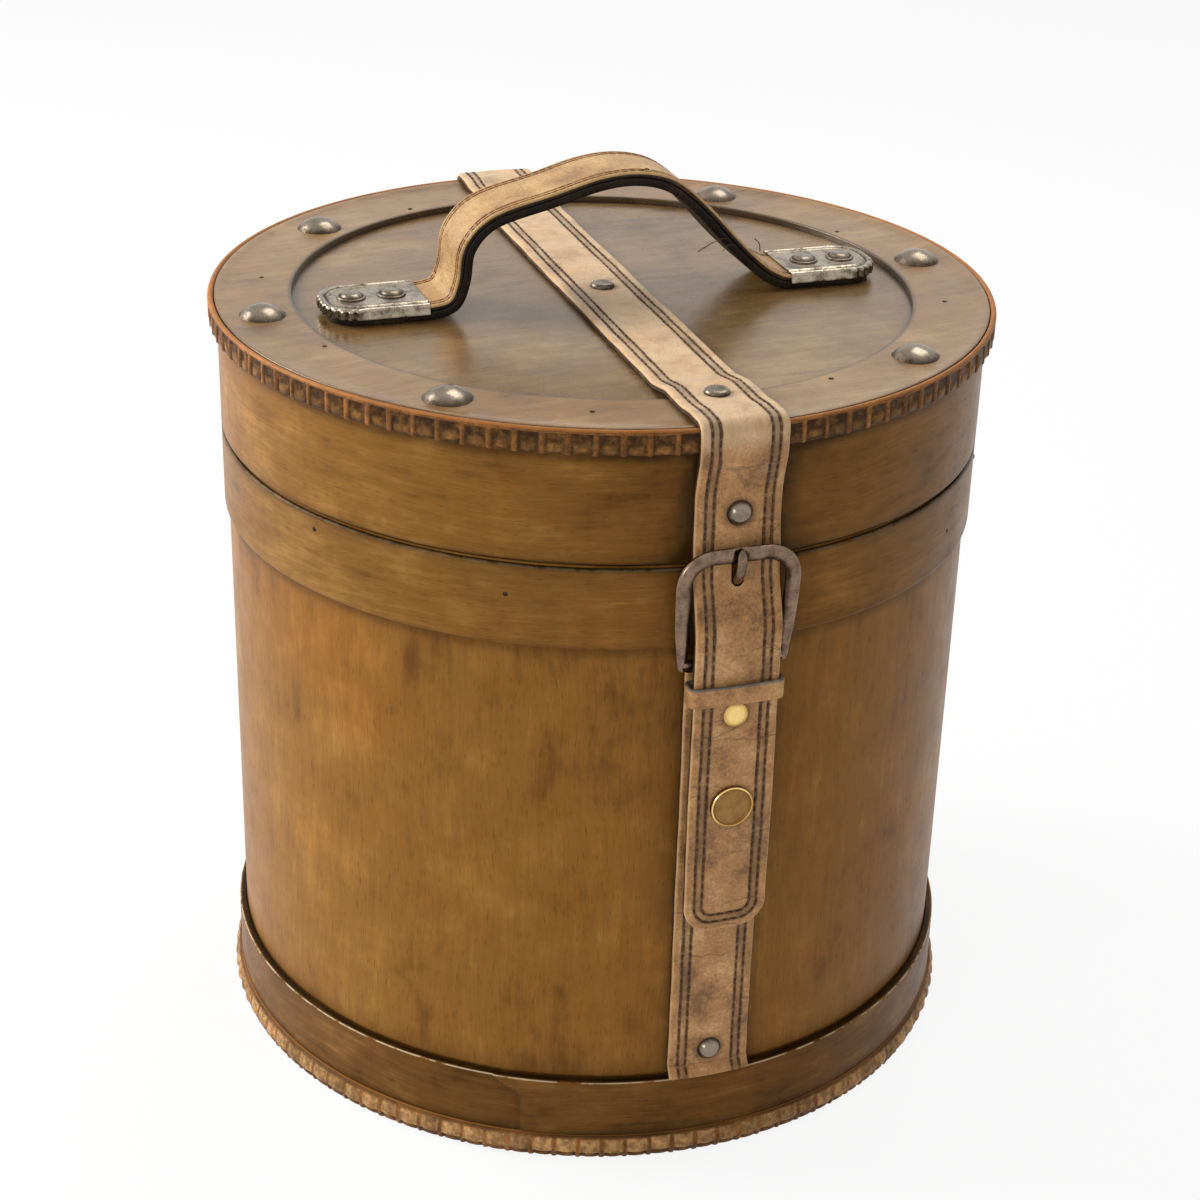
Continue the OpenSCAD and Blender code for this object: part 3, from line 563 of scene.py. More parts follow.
def along(points, step):
    """The same path with points evenly spaced."""
    points = np.asarray(points, float)
    run = np.concatenate([[0], np.cumsum(np.linalg.norm(np.diff(points, axis=0), axis=1))])
    count = max(2, int(round(run[-1] / step)) + 1)
    at = np.linspace(0, run[-1], count)
    return np.stack([np.interp(at, run, points[:, k]) for k in range(points.shape[1])], 1)


def eased(points, passes):
    """The path with its corners softened; its ends stay."""
    points = points.copy()
    for _ in range(passes):
        points[1:-1] = 0.25 * points[:-2] + 0.5 * points[1:-1] + 0.25 * points[2:]
    return points


class Strip:
    """A strip that follows a path in [along, up]. place() gives points from across, distance and height."""

    def __init__(self, path, hug=None, handle=False):
        self.path = path
        self.run = np.concatenate([[0], np.cumsum(np.linalg.norm(np.diff(path, axis=0), axis=1))])
        self.length = self.run[-1]
        way = np.gradient(path, axis=0)
        way /= np.linalg.norm(way, axis=1)[:, None]
        self.out = np.stack([way[:, 1], -way[:, 0]], 1)
        self.hug = np.zeros(len(path)) if hug is None else hug
        self.handle = handle

    def place(self, across, distance, height):
        across, distance, height = np.broadcast_arrays(across, distance, height)
        mid = [np.interp(distance, self.run, self.path[:, k]) for k in (0, 1)]
        out = [np.interp(distance, self.run, self.out[:, k]) for k in (0, 1)]
        hug = np.interp(distance, self.run, self.hug)
        forth, up = mid[0] + out[0] * height, mid[1] + out[1] * height
        reach = np.maximum(forth**2 - across**2, 0)
        forth = forth - np.sign(forth) * hug * (np.abs(forth) - np.sqrt(reach))
        if self.handle:
            return np.stack([forth, across, up], -1)
        return np.stack([across, forth, up], -1)

    def distance_at(self, index, value, after=0.0):
        """How far along the path its coordinate first reaches a value."""
        start = np.searchsorted(self.run, after)
        part = self.path[start:, index] - value
        first = start + int(np.argmax(part[:-1] * part[1:] <= 0))
        a, b = self.path[first, index], self.path[first + 1, index]
        share = 0.0 if a == b else (value - a) / (b - a)
        return self.run[first] + share * (self.run[first + 1] - self.run[first])


INSETS = np.concatenate([[0, 0.1, 0.25, 0.5, 0.85], np.arange(1.3, 7.4, 0.36), [8.0, 9.2, 10.2, 11.15, 12.1]])


def across_places(half, insets=INSETS):
    edge = [half - i for i in insets if i < half - 0.3]
    return np.array([-x for x in edge] + [0.0] + edge[::-1])


def dress(inset, thickness, lines=STITCH_INSETS):
    """Height of a stitched strap's face at a distance in from its edge."""
    near = 1 - np.clip(inset / 0.85, 0, 1)
    edge = 1 - np.sqrt(np.clip(1 - near**2, 0, 1))
    groove = sum(np.exp(-(((inset - at) / 0.42) ** 2)) for at in lines)
    return thickness - 0.75 * edge - 0.26 * groove + 0.1 * ease((inset - 6) / 4)


def tip_half(left, half, radius):
    """Half the width of a strap, a distance before its rounded end."""
    short = np.clip(radius - left, 0, radius)
    return half - radius + np.sqrt(radius**2 - short**2)


def tip_inset(across, left, half, radius):
    """Distance in from the outline of a strap with a rounded end."""
    side = half - np.abs(across)
    past = np.hypot(np.abs(across) - (half - radius), radius - left)
    corner = (np.abs(across) > half - radius) & (left < radius)
    return np.where(corner, radius - past, np.minimum(side, left))


def strap_piece(name, strip, start, stop, materials, half=STRAP_HALF, thickness=STRAP_T, under=0.0, step=1.0,
                tip=0.0, both_tips=False, dimples=(), hole=None, lines=STITCH_INSETS, lift=0.06, rag=1.0):
    """A length of strap between two distances along its strip, dressed on the face and cut clean at the ends."""
    cells = int(round((stop - start) / step))
    rows = np.linspace(start, stop, cells + 1)
    if tip:
        bow = tip * (1 - np.cos(np.linspace(0, math.pi / 2, 26)))
        rows = np.concatenate([np.linspace(start, stop - tip, cells + 1)[:-1], (stop - bow)[::-1]])
        if both_tips:
            rows = np.concatenate([start + bow[:-1], np.linspace(start + tip, stop - tip, cells + 1)[:-1], (stop - bow)[::-1]])
    flat = across_places(half)
    left = np.minimum(stop - rows, rows - start) if both_tips else stop - rows
    width = tip_half(left, half, tip) if tip else np.full(len(rows), half)
    wave = 1 + rag * (0.006 * np.sin(rows / 10.3 + 0.4) + 0.003 * np.sin(rows / 3.1 + 1.9))
    across = flat[None, :] * (width / half * wave)[:, None]
    distance = np.repeat(rows[:, None], len(flat), 1)
    if tip:
        inset = np.maximum(tip_inset(across / wave[:, None], left[:, None], half, tip), 0)
    else:
        inset = np.repeat(half - np.abs(flat)[None], len(rows), 0)
    height = dress(inset, thickness, lines)
    swell = np.sin(distance / 8.3 + across / 6.1) + 0.7 * np.sin(distance / 3.9 - across / 3.3 + 2)
    height = height + lift * swell
    grime = np.zeros_like(height)
    for at in dimples:
        off = np.hypot(distance - at, across)
        height = height - 0.4 * np.exp(-((off / 5.0) ** 2))
        # A dark ring round each rivet: partly dirt, partly painted shade round its head.
        grime = np.maximum(grime, 0.75 * ease((5.6 - off) / 2.0))
    low = under + 0.35 * (1 - np.sqrt(np.clip(1 - (1 - np.clip(inset / 0.6, 0, 1)) ** 2, 0, 1)))
    keep = np.ones((len(rows) - 1, len(flat) - 1), bool)
    if hole:
        round_end = hole[2] - np.sqrt(np.clip(hole[2] ** 2 - across**2, 0, None))
        near = np.clip(1 - np.abs(distance - hole[1]) / 4, 0, 1) * (np.abs(across) < hole[2] + 0.01)
        distance = distance - near * round_end
        mid_row, mid_col = (rows[1:] + rows[:-1]) / 2, (flat[1:] + flat[:-1]) / 2
        inside = (mid_row > hole[0]) & (mid_row < hole[1])
        keep[np.ix_(inside, np.abs(mid_col) < hole[2])] = False
    pattern = np.stack([across, distance], 2)
    top = strip.place(across, distance, height)
    # pale marks the strap's run over the lid, where dust and a painted sheen make it paler.
    floats = {"inset": inset, "grime": grime, "pale": ease((top[..., 2] - 236) / 8) * (half == STRAP_HALF)}
    return slab(name, top, strip.place(across, distance, low), materials, pattern, keep,
                floats)


def lines_object(name, lines):
    """Open lines of points, as a mesh of edges for a stitch tree."""
    points, edges = [], []
    for line in lines:
        start = len(points)
        points += (np.asarray(line) * MM).tolist()
        edges += [(start + i, start + i + 1) for i in range(len(line) - 1)]
    mesh = bpy.data.meshes.new(name)
    mesh.from_pydata(points, edges, [])
    return add_object(name, mesh)


def points_object(name, places):
    """Loose points with the way each faces, and its size, for a stud tree."""
    mesh = bpy.data.meshes.new(name)
    mesh.from_pydata([tuple(c * MM for c in p[0]) for p in places], [], [])
    facing = mesh.attributes.new("facing", "FLOAT_VECTOR", "POINT")
    facing.data.foreach_set("vector", np.asarray([p[1] for p in places], np.float32).ravel())
    return add_object(name, mesh)


def make_stitch_tree():
    """A row of thread stitches along each line."""
    inputs = [("Geometry", "Geometry"), ("Pitch", "Float", 0.003), ("Length", "Float", 0.0023),
              ("Thickness", "Float", 0.0006), ("Seed", "Int", 3), ("Material", "Material")]
    tree, given, result = new_group("stitch row", "GeometryNodeTree", inputs, [("Geometry", "Geometry")])
    n = Nodes(tree)
    curve = n.get("GeometryNodeMeshToCurve", "Curve", {"Mesh": given["Geometry"]})
    spots = n.add("GeometryNodeCurveToPoints", {"Curve": curve, "Length": given["Pitch"]}, mode="LENGTH")
    ball = n.get("GeometryNodeMeshUVSphere", "Mesh", {"Segments": 6, "Rings": 5, "Radius": 0.5})
    size = n.add("ShaderNodeCombineXYZ", {0: given["Thickness"], 1: given["Thickness"], 2: given["Length"]}).outputs[0]
    ball = n.get("GeometryNodeTransform", "Geometry", {"Geometry": ball, "Scale": size})
    ball = n.get("GeometryNodeSetShadeSmooth", "Geometry", {"Geometry": ball})
    spread = {"Min": 0.82, "Max": 1.12, "Seed": given["Seed"]}
    vary = n.get("FunctionNodeRandomValue", "Value", spread, data_type="FLOAT")
    placed = {"Points": spots.outputs["Points"], "Instance": ball, "Rotation": spots.outputs["Rotation"], "Scale": vary}
    made = n.get("GeometryNodeInstanceOnPoints", "Instances", placed)
    close_tree(n, made, given, result)
    return tree


def make_stud_tree():
    """One turned head at each point, facing its own way and turned by chance."""
    inputs = [("Geometry", "Geometry"), ("Head", "Object"), ("Spread", "Float", 0.03), ("Seed", "Int", 11),
              ("Material", "Material")]
    tree, given, result = new_group("studs", "GeometryNodeTree", inputs, [("Geometry", "Geometry")])
    n = Nodes(tree)
    facing = n.get("GeometryNodeInputNamedAttribute", "Attribute", {"Name": "facing"}, data_type="FLOAT_VECTOR")
    turn = n.get("FunctionNodeAlignRotationToVector", "Rotation", {"Vector": facing}, axis="Z")
    angle = n.get("FunctionNodeRandomValue", "Value", {"Min": 0.0, "Max": 6.283, "Seed": given["Seed"]}, data_type="FLOAT")
    spin = n.get("FunctionNodeAxisAngleToRotation", "Rotation", {"Axis": (0.0, 0.0, 1.0), "Angle": angle})
    turn = n.get("FunctionNodeRotateRotation", "Rotation", {"Rotation": turn, "Rotate By": spin}, rotation_space="LOCAL")
    low = n.math("SUBTRACT", 1.0, given["Spread"])
    size = n.get("FunctionNodeRandomValue", "Value", {"Min": low, "Max": 1.0, "Seed": given["Seed"]}, data_type="FLOAT")
    head = n.get("GeometryNodeObjectInfo", "Geometry", {"Object": given["Head"]})
    placed = {"Points": given["Geometry"], "Instance": head, "Rotation": turn, "Scale": size}
    made = n.get("GeometryNodeInstanceOnPoints", "Instances", placed)
    close_tree(n, made, given, result)
    return tree


def make_emboss_tree():
    """Presses a row of cells into a turned moulding, by its around and up attributes."""
    inputs = [("Geometry", "Geometry"), ("Cells", "Float", 103.0), ("Depth", "Float", 0.0005), ("Low", "Float", 0.1),
              ("High", "Float", 0.7), ("Tile Low", "Float", 0.1), ("Tile High", "Float", 0.9), ("Rib", "Float", 0.3), ("Bulge", "Float", 0.0), ("Seed", "Int", 5),
              ("Material", "Material")]
    tree, given, result = new_group("embossed cells", "GeometryNodeTree", inputs, [("Geometry", "Geometry")])
    n = Nodes(tree)
    around = n.get("GeometryNodeInputNamedAttribute", "Attribute", {"Name": "around"}, data_type="FLOAT")
    up = n.get("GeometryNodeInputNamedAttribute", "Attribute", {"Name": "up"}, data_type="FLOAT")
    turn = n.math("MULTIPLY", around, given["Cells"])
    cell = n.math("FLOOR", n.math("ADD", turn, 0.001))
    part = n.math("SUBTRACT", turn, cell)
    chance = [n.get("FunctionNodeRandomValue", "Value", {"Min": 0.0, "Max": 1.0, "ID": cell,
              "Seed": n.math("ADD", given["Seed"], float(k))}, data_type="FLOAT") for k in range(3)]
    side = n.math("MULTIPLY", n.math("ABSOLUTE", n.math("SUBTRACT", part, 0.5)), 2.0)
    border = n.math("SUBTRACT", n.math("SUBTRACT", 1.0, given["Rib"]), n.math("MULTIPLY", chance[0], 0.12))
    beside = n.fit(side, border, n.math("ADD", border, 0.16), 1.0, 0.0)
    shift = n.math("MULTIPLY", n.math("SUBTRACT", chance[1], 0.5), 0.06)
    level = n.math("ADD", up, shift)
    under = n.fit(level, n.math("SUBTRACT", given["High"], 0.07), given["High"], 1.0, 0.0)
    above = n.fit(level, given["Low"], n.math("ADD", given["Low"], 0.07))
    press = n.math("MULTIPLY", beside, n.math("MULTIPLY", under, above))
    pillow = n.math("MULTIPLY", n.fit(side, border, n.math("MULTIPLY", border, 0.45)), n.fit(
        n.math("ABSOLUTE", n.math("SUBTRACT", level, n.math("MULTIPLY", n.math("ADD", given["Low"], given["High"]), 0.5))),
        0.22, 0.05, 0.0, 1.0))
    hollow = n.math("MULTIPLY", press, n.math("SUBTRACT", 1.0, n.math("MULTIPLY", pillow, 0.75)))
    tile = n.math("MULTIPLY", beside, n.fit(level, given["Tile Low"], n.math("ADD", given["Tile Low"], 0.08)))
    tile = n.math("MULTIPLY", tile, n.fit(level, given["Tile High"], n.math("ADD", given["Tile High"], 0.06), 1.0, 0.0))
    here = n.get("GeometryNodeInputPosition", "Position")
    out = n.vector("NORMALIZE", n.vector("MULTIPLY", here, (1.0, 1.0, 0.0)))
    deep = n.math("MULTIPLY", n.math("MULTIPLY", hollow, given["Depth"]), n.fit(chance[2], 0.0, 1.0, -0.75, -1.0))
    dome = n.math("MULTIPLY", n.fit(side, border, n.math("MULTIPLY", border, 0.3)), tile)
    push = n.scale(out, n.math("MULTIPLY_ADD", dome, given["Bulge"], deep))
    made = given["Geometry"]
    for key, value in (("hollow", hollow), ("tile", tile), ("tint", chance[2])):
        stored = {"Geometry": made, "Name": key, "Value": value}
        made = n.get("GeometryNodeStoreNamedAttribute", "Geometry", stored, data_type="FLOAT", domain="POINT")
    made = n.get("GeometryNodeSetPosition", "Geometry", {"Geometry": made, "Offset": push})
    close_tree(n, made, given, result)
    return tree


def close_tree(n, made, given, result):
    made = n.get("GeometryNodeRealizeInstances", "Geometry", {"Geometry": made})
    made = n.get("GeometryNodeSetMaterial", "Geometry", {"Geometry": made, "Material": given["Material"]})
    n.put(made, result["Geometry"])


def made_by(tree, obj, **values):
    """Runs a geometry tree on an object and keeps the mesh that comes out."""
    modifier = obj.modifiers.new(tree.name, "NODES")
    modifier.node_group = tree
    for item in tree.interface.items_tree:
        key = item.name.replace(" ", "_").lower()
        if item.item_type == "SOCKET" and item.in_out == "INPUT" and key in values:
            modifier[item.identifier] = values[key]
    graph = bpy.context.evaluated_depsgraph_get()
    mesh = bpy.data.meshes.new_from_object(obj.evaluated_get(graph), preserve_all_data_layers=True, depsgraph=graph)
    obj.modifiers.remove(modifier)
    obj.data = mesh
    return obj


STITCHES = make_stitch_tree()
STUDS = make_stud_tree()
EMBOSS = make_emboss_tree()


def fit_piece(obj, body, slot, *nodes):
    """Says which body a piece rides on and which CAD nodes it stands for, and hides those nodes. Its slot is not used.
    """
    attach(obj, body)
    if nodes:
        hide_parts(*nodes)
    return obj


def rounded(profile, radii, steps=4):
    """A closed profile with some corners rounded, each by its own radius."""
    profile = [np.asarray(p, float) for p in profile]
    out = []
    for i, (corner, radius) in enumerate(zip(profile, radii)):
        if not radius:
            out.append(corner)
            continue
        before, after = profile[i - 1] - corner, profile[(i + 1) % len(profile)] - corner
        before, after = before / np.linalg.norm(before), after / np.linalg.norm(after)
        a, b = corner + before * radius, corner + after * radius
        for t in np.linspace(0, 1, steps + 1):
            out.append((1 - t) ** 2 * a + 2 * t * (1 - t) * corner + t * t * b)
    return out


def walled(profile, step):
    """More points on a profile's long sides."""
    out = []
    for i, point in enumerate(profile):
        after = profile[(i + 1) % len(profile)]
        count = max(1, int(math.ceil(np.linalg.norm(after - point) / step)))
        out += [point + (after - point) * k / count for k in range(count)]
    return np.array(out)


def band_profile(r_in, r_out, z0, z1, edge=0.5, step=6.0, rows=()):
    """The section of a band, with extra points on its outside at the heights given as rows."""
    corners = [(r_out, z0), (r_out, z1), (r_in, z1), (r_in, z0)]
    shape = rounded(corners, [edge, edge, min(edge, 0.3), 0.0])
    side = [np.array([r_out, z]) for z in sorted(rows) if z0 + edge + 0.2 < z < z1 - edge - 0.2]
    return walled(shape[:5] + side + shape[5:], step)


def strap_side_shade(angle, height):
    """Painted shade along both sides of the strap at the front, above the foot: a narrow dark band at each edge,
    stronger on the left, and a broad soft one, mostly on the skirt.
    """
    across = LID_R * np.cos(angle)
    out = np.abs(across) - STRAP_HALF
    front = np.sin(angle) < 0
    above = ease((height - 26) / 4)
    out = np.where(out > -3, np.maximum(out, 0), 500)
    soft = np.where(height > 203.5, 0.72, 0.1) * np.exp(-out / 30)
    return above * front * (soft + np.where(across < 0, 0.75, 0.5) * np.exp(-out / 4.5))


def hoop(name, body, slot, node, r_in, r_out, z0, z1, material, inside, edge=0.5, wobble=0.04, joint_shade=(), lift=None,
         fractions=None, darkening=strap_side_shade, step=6.0, wear=0.0, gap=0.0):
    """A bent band of wood. Painted shade darkens it near the given heights, at its joints and edges, as (height, reach,
    strength). Its top face is darker inside the outer edge by gap, and a painted highlight runs along its outer top
    edge.
    """
    rows = {round(z + k * reach, 2) for z, reach, _ in joint_shade for k in (-1, -0.7, -0.4, -0.2, 0, 0.2, 0.4, 0.7, 1)}
    profile = band_profile(r_in, r_out, z0, z1, edge, step, rows)
    grime = sum((k * ease(1 - np.abs(profile[:, 1] - z) / reach) for z, reach, k in joint_shade), np.zeros(len(profile)))
    grime += gap * (profile[:, 1] > z1 - 0.2) * ease((r_out - edge - profile[:, 0]) / 0.6)
    middle = (r_in + r_out) / 2
    after = np.roll(profile, -1, 0)
    slot_of = [int((a[0] + b[0]) / 2 < middle) for a, b in zip(profile, after)]
    # Painted highlight along the rounded outer top edge.
    painted_light = wear * (profile[:, 1] > z1 - edge * 0.8) * (profile[:, 0] > r_out - edge * 0.7)
    count = 256 if fractions is None else len(fractions)
    obj = turned(name, profile, [material, inside], slot_of=slot_of, wobble=wobble, grime=grime, lift=lift,
                 fractions=fractions, darkening=darkening, floats={"wear": np.repeat(painted_light[None], count, 0)})
    return fit_piece(obj, body, slot, node)


def drum():
    # Painted shade on the wall under the collar hoop and above the foot hoop, and on the collar at the seam and its
    # lower edge; a faint painted highlight along the collar's top edge.
    hoop("drum_wall", "drum", "drum_veneer", "drum_shell", SHELL_IN, SHELL_R, 0.0, DRUM_TOP, DRUM_WOOD, PLAIN_WOOD,
         0.3, 0.06, ((176.8, 4, 0.6), (28.2, 1.5, 1.3), (28, 10, 0.4)), fractions=STRAP_SIDES)
    hoop("guide_lip", "drum", "lip_wood", "inner_lip", 112.95, 115.35, 185.0, 213.6, PLAIN_WOOD, PLAIN_WOOD, 0.6, 0.0)
    hoop("collar_band", "drum", "hoop_veneer", "collar_hoop", 118.65, LID_R, 177.7, DRUM_TOP - 0.5, HOOP_WOOD, HOOP_WOOD,
         0.9, 0.05, ((DRUM_TOP, 2.0, 1.2), (DRUM_TOP, 7.0, 0.35), (177.7, 2.0, 0.35)), fractions=STRAP_SIDES, wear=0.12)
    base = turned("base_plate", rounded([(0, 0), (115.35, 0), (115.35, 6), (0, 6)], [0, 0.4, 0.4, 0]), [BASE_WOOD], 128)
    fit_piece(base, "drum", "base_wood", "base_board")
    foot_band()


def finer(start, stop, step, coarse=240):
    """Fractions of a turn from the back, evenly spaced, and closer between two angles in degrees."""
    part = np.arange(coarse) / coarse
    low, high = (((a - 90) % 360) / 360 for a in (start, stop))
    part = part[(part < low) | (part > high)]
    return np.sort(np.concatenate([part, np.arange(low, high, step / 360)]))


STRAP_SIDES = finer(-101.5, -78.5, 0.35)


def foot_band():
    """The foot hoop, whose end laps over itself at the left of the front with a rounded corner."""
    end, reach = math.radians(-117.8), math.radians(110)

    def past(angle, height):
        corner = end - math.radians(4.2) * ease((height - 19.5) / 8.5) ** 1.5
        return (corner - angle) % (2 * math.pi)

    def lap(angle, height, radius):
        back = past(angle, height)
        under = np.where(back < reach, ease(back / math.radians(0.22)) * (1 - ease(back / reach)), 0.0)
        return -0.4 * under * (radius > 119.5)

    # Darker just beside the edge of the lapped end.
    def darkening(angle, height):
        back = np.degrees(past(angle, height))
        return 0.35 * np.exp(-back / 0.9) * (back < 10) + 0.35 * np.exp(-back / 4.0) * (back < 40)

    # Painted shade at its foot over the moulding; its top face darker inside the outer edge, and a painted highlight
    # along that edge.
    hoop("foot_band", "drum", "hoop_veneer", "foot_hoop", 118.65, 121.15, 7.9, 27.9, FOOT_WOOD, FOOT_WOOD, 0.4, 0.0,
         ((7.9, 3.5, 0.7),), lap, finer(-124, -116, 0.09), darkening, 0.8, 1.2, 1.3)


def lid():
    # Painted shade on the skirt under the rim moulding and at the seam.
    hoop("skirt_band", "lid", "hoop_veneer", "lid_skirt", SKIRT_IN, LID_R, SEAM_Z + 0.45, 242.6, SKIRT_WOOD, PLAIN_WOOD,
         0.9, 0.05, ((237.0, 3.5, 0.8), (SEAM_Z, 1.8, 1.2), (SEAM_Z, 6.0, 0.3)), fractions=STRAP_SIDES)
    board = rounded([(0, 236.65), (115.9, 236.65), (115.9, BOARD_TOP), (0, BOARD_TOP)], [0, 0.3, 0.3, 0])
    board = board[:-1] + [np.array([r, BOARD_TOP]) for r in (98.0, 97.2, 96.5, 95.7, 94.5, 90.0)] + board[-1:]
    board = walled(board, 8.0)
    # Painted shade in the corner of the recess, where the board meets the border's inner wall, fading out over the
    # board.
    grime = 1.3 * ease(1 - np.abs(board[:, 0] - 96.9) / 2.0) + 0.3 * ease(1 - np.abs(board[:, 0] - 96.9) / 7.0)
    board = turned("lid_panel", board, [LID_WOOD], 192, grime=grime * (board[:, 1] > BOARD_TOP - 0.1))
    fit_piece(board, "lid", "lid_veneer", "lid_board")
    corners = [(119.95, RING_Z), (119.95, 243.3), (120.6, 243.6), (120.6, 245.2), (120.1, 245.38), (118.9, 245.3),
               (116.8, 244.9), (114.0, RING_TOP), (98.4, RING_TOP), (RECESS_R, RING_TOP), (RECESS_R, RING_Z)]
    profile = walled(rounded(corners, [0, 0, 0, 0.25, 0.3, 0.5, 0.8, 0.8, 0, 0.5, 0]), 4.0)
    # A dark line at the joint with the moulding, and painted shade along the recess's edge.
    grime = 1.0 * ease(1 - (120.6 - profile[:, 0]) / 0.7) + 1.5 * ease(1 - (profile[:, 0] - RECESS_R) / 1.3)
    ring = turned("lid_border", profile, [RING_WOOD], 256, grime=grime)
    fit_piece(ring, "lid", "lid_veneer", "lid_ring")


def moulding(name, body, node, profile, up, material, **press):
    parts = np.array([0, 0.06, 0.11, 0.16, 0.22, 0.36, 0.5, 0.64, 0.78, 0.84, 0.89, 0.94])
    cells = 103
    fractions = ((np.arange(cells)[:, None] + parts[None]) / cells).ravel()
    # Painted shade: 0.7 on the inner faces, which meet the next part, and a dark band at height 7.8, under the foot
    # hoop.
    grime = np.where(up > 1.5, 0.7, 0.9 * ease(1 - np.abs(profile[:, 1] - 7.8) / 1.2))
    obj = turned(name, profile, [material], fractions=fractions, up=up, grime=grime, sharp=180)
    made_by(EMBOSS, obj, cells=float(cells), material=material, **press)
    fit_piece(obj, body, "moulding_wood", node)


def mouldings():
    outer = [(121.6, 237.6), (122.25, 237.8)] + [(122.6, z) for z in np.arange(238.2, 243.4, 0.33)]
    bead = [(121.68 + 0.96 * math.cos(a), 244.4 + 0.98 * math.sin(a)) for a in np.radians(np.arange(-42, 165, 17))]
    inner = [(120.7, 244.3), (120.7, 243.4), (120.05, 243.0), (120.05, 237.6)]
    profile = np.array(outer + bead + inner)
    up = (profile[:, 1] - 237.6) / 7.8
    up[-4:] = 2.0
    moulding("rim_trim", "lid", "lid_moulding", profile, up, RIM_MOULD, depth=0.0006, low=-0.3, high=0.87,
             tile_low=-0.3, tile_high=0.84, rib=0.2, bulge=0.0)
    rows = np.linspace(0, 1, 22)
    outer = [(122.0 + 0.75 * math.sin(math.pi * min(t * 1.18, 1)) ** 0.6, 0.15 + 7.3 * t) for t in rows]
    profile = np.array([(121.7, 0.0)] + outer + [(121.5, 7.8), (118.65, 7.85), (118.65, 0.0)])
    up = np.concatenate([[0.0], rows * 0.86, [0.86, 2.0, 2.0]])
    moulding("foot_trim", "drum", "foot_moulding", profile, up, FOOT_MOULD, depth=0.0007, low=-0.1, high=0.3,
             tile_low=0.24, tile_high=0.78, rib=0.2, bulge=0.00055)


def strap_path():
    """The strap's underside from the rear end, over the lid and down the front to the tail's tip, as [Y, Z]."""
    arc = [(121.45 + 1.25 * math.cos(a), 244.3 + 1.25 * math.sin(a)) for a in np.radians([0, 22.5, 45, 67.5, 90])]
    rear = [(118.65, 141.6), (118.65, 174.2), (120.05, 177.5), (120.05, 225.5), (121.2, 231.0), (122.7, 236.4)] + arc
    rear += [(114.2, 245.55), (108.2, 244.75), (93.9, 244.75), (82.9, 242.7)]
    front = [(-y, z) for y, z in rear[:2:-1]] + [(-120.05, 211.75)]
    drop = np.linspace(0, 1, 15)
    tail = [(-(120.35 + 4.85 * float(ease(t))), 203.4 - 21.4 * t) for t in drop]
    return np.array(rear + front + tail + [(-125.2, TAIL_Z)])


def strap_strip():
    path = eased(along(strap_path(), 0.5), 3)
    y, z = path[:, 0], path[:, 1]
    hug = ease((np.abs(y) - 95) / 12)
    hug = np.where((y < -100) & (z < 230), ease((z - 206) / 10), hug)
    return Strip(path, hug)


STRAP = strap_strip()
FRONT = STRAP.length / 2
STRAP_CUT = STRAP.distance_at(1, 226.0, FRONT)


def front_at(z):
    return STRAP.distance_at(1, z, FRONT)


def stitch_lines(strip, start, stop, half, thickness, tip=0.0, both_tips=False, insets=STITCH_INSETS, sink=0.1):
    """Lines that the thread follows: two down each side, round the tip where there is one."""
    lines = []
    for inset in insets:
        height = thickness - 0.26 + 0.3 - sink
        x, r = half - inset, tip - inset
        if not tip:
            rows = np.arange(start + 0.8, stop - 0.8, 0.7)
            lines += [strip.place(s * x, rows, height) for s in (-1, 1)]
            continue
        bow = np.linspace(0, math.pi / 2, 9)
        turn_x, turn_d = half - tip + r * np.cos(bow), stop - tip + r * np.sin(bow)
        base = start + tip if both_tips else start + 0.8
        side = np.arange(base, stop - tip, 0.7)
        right = np.concatenate([np.stack([np.full_like(side, x), side], 1), np.stack([turn_x, turn_d], 1)])
        half_line = np.concatenate([right, [[0.0, stop - inset]]])
        left = half_line[:-1][::-1] * [-1, 1]
        path = np.concatenate([half_line, left])
        lines.append(strip.place(path[:, 0], path[:, 1], height))
    return lines


def sew(name, lines, material, pitch=3.0, length=2.4, thickness=0.62, seed=3):
    obj = lines_object(name, lines)
    return made_by(STITCHES, obj, pitch=pitch * MM, length=length * MM, thickness=thickness * MM, seed=seed,
                   material=material)


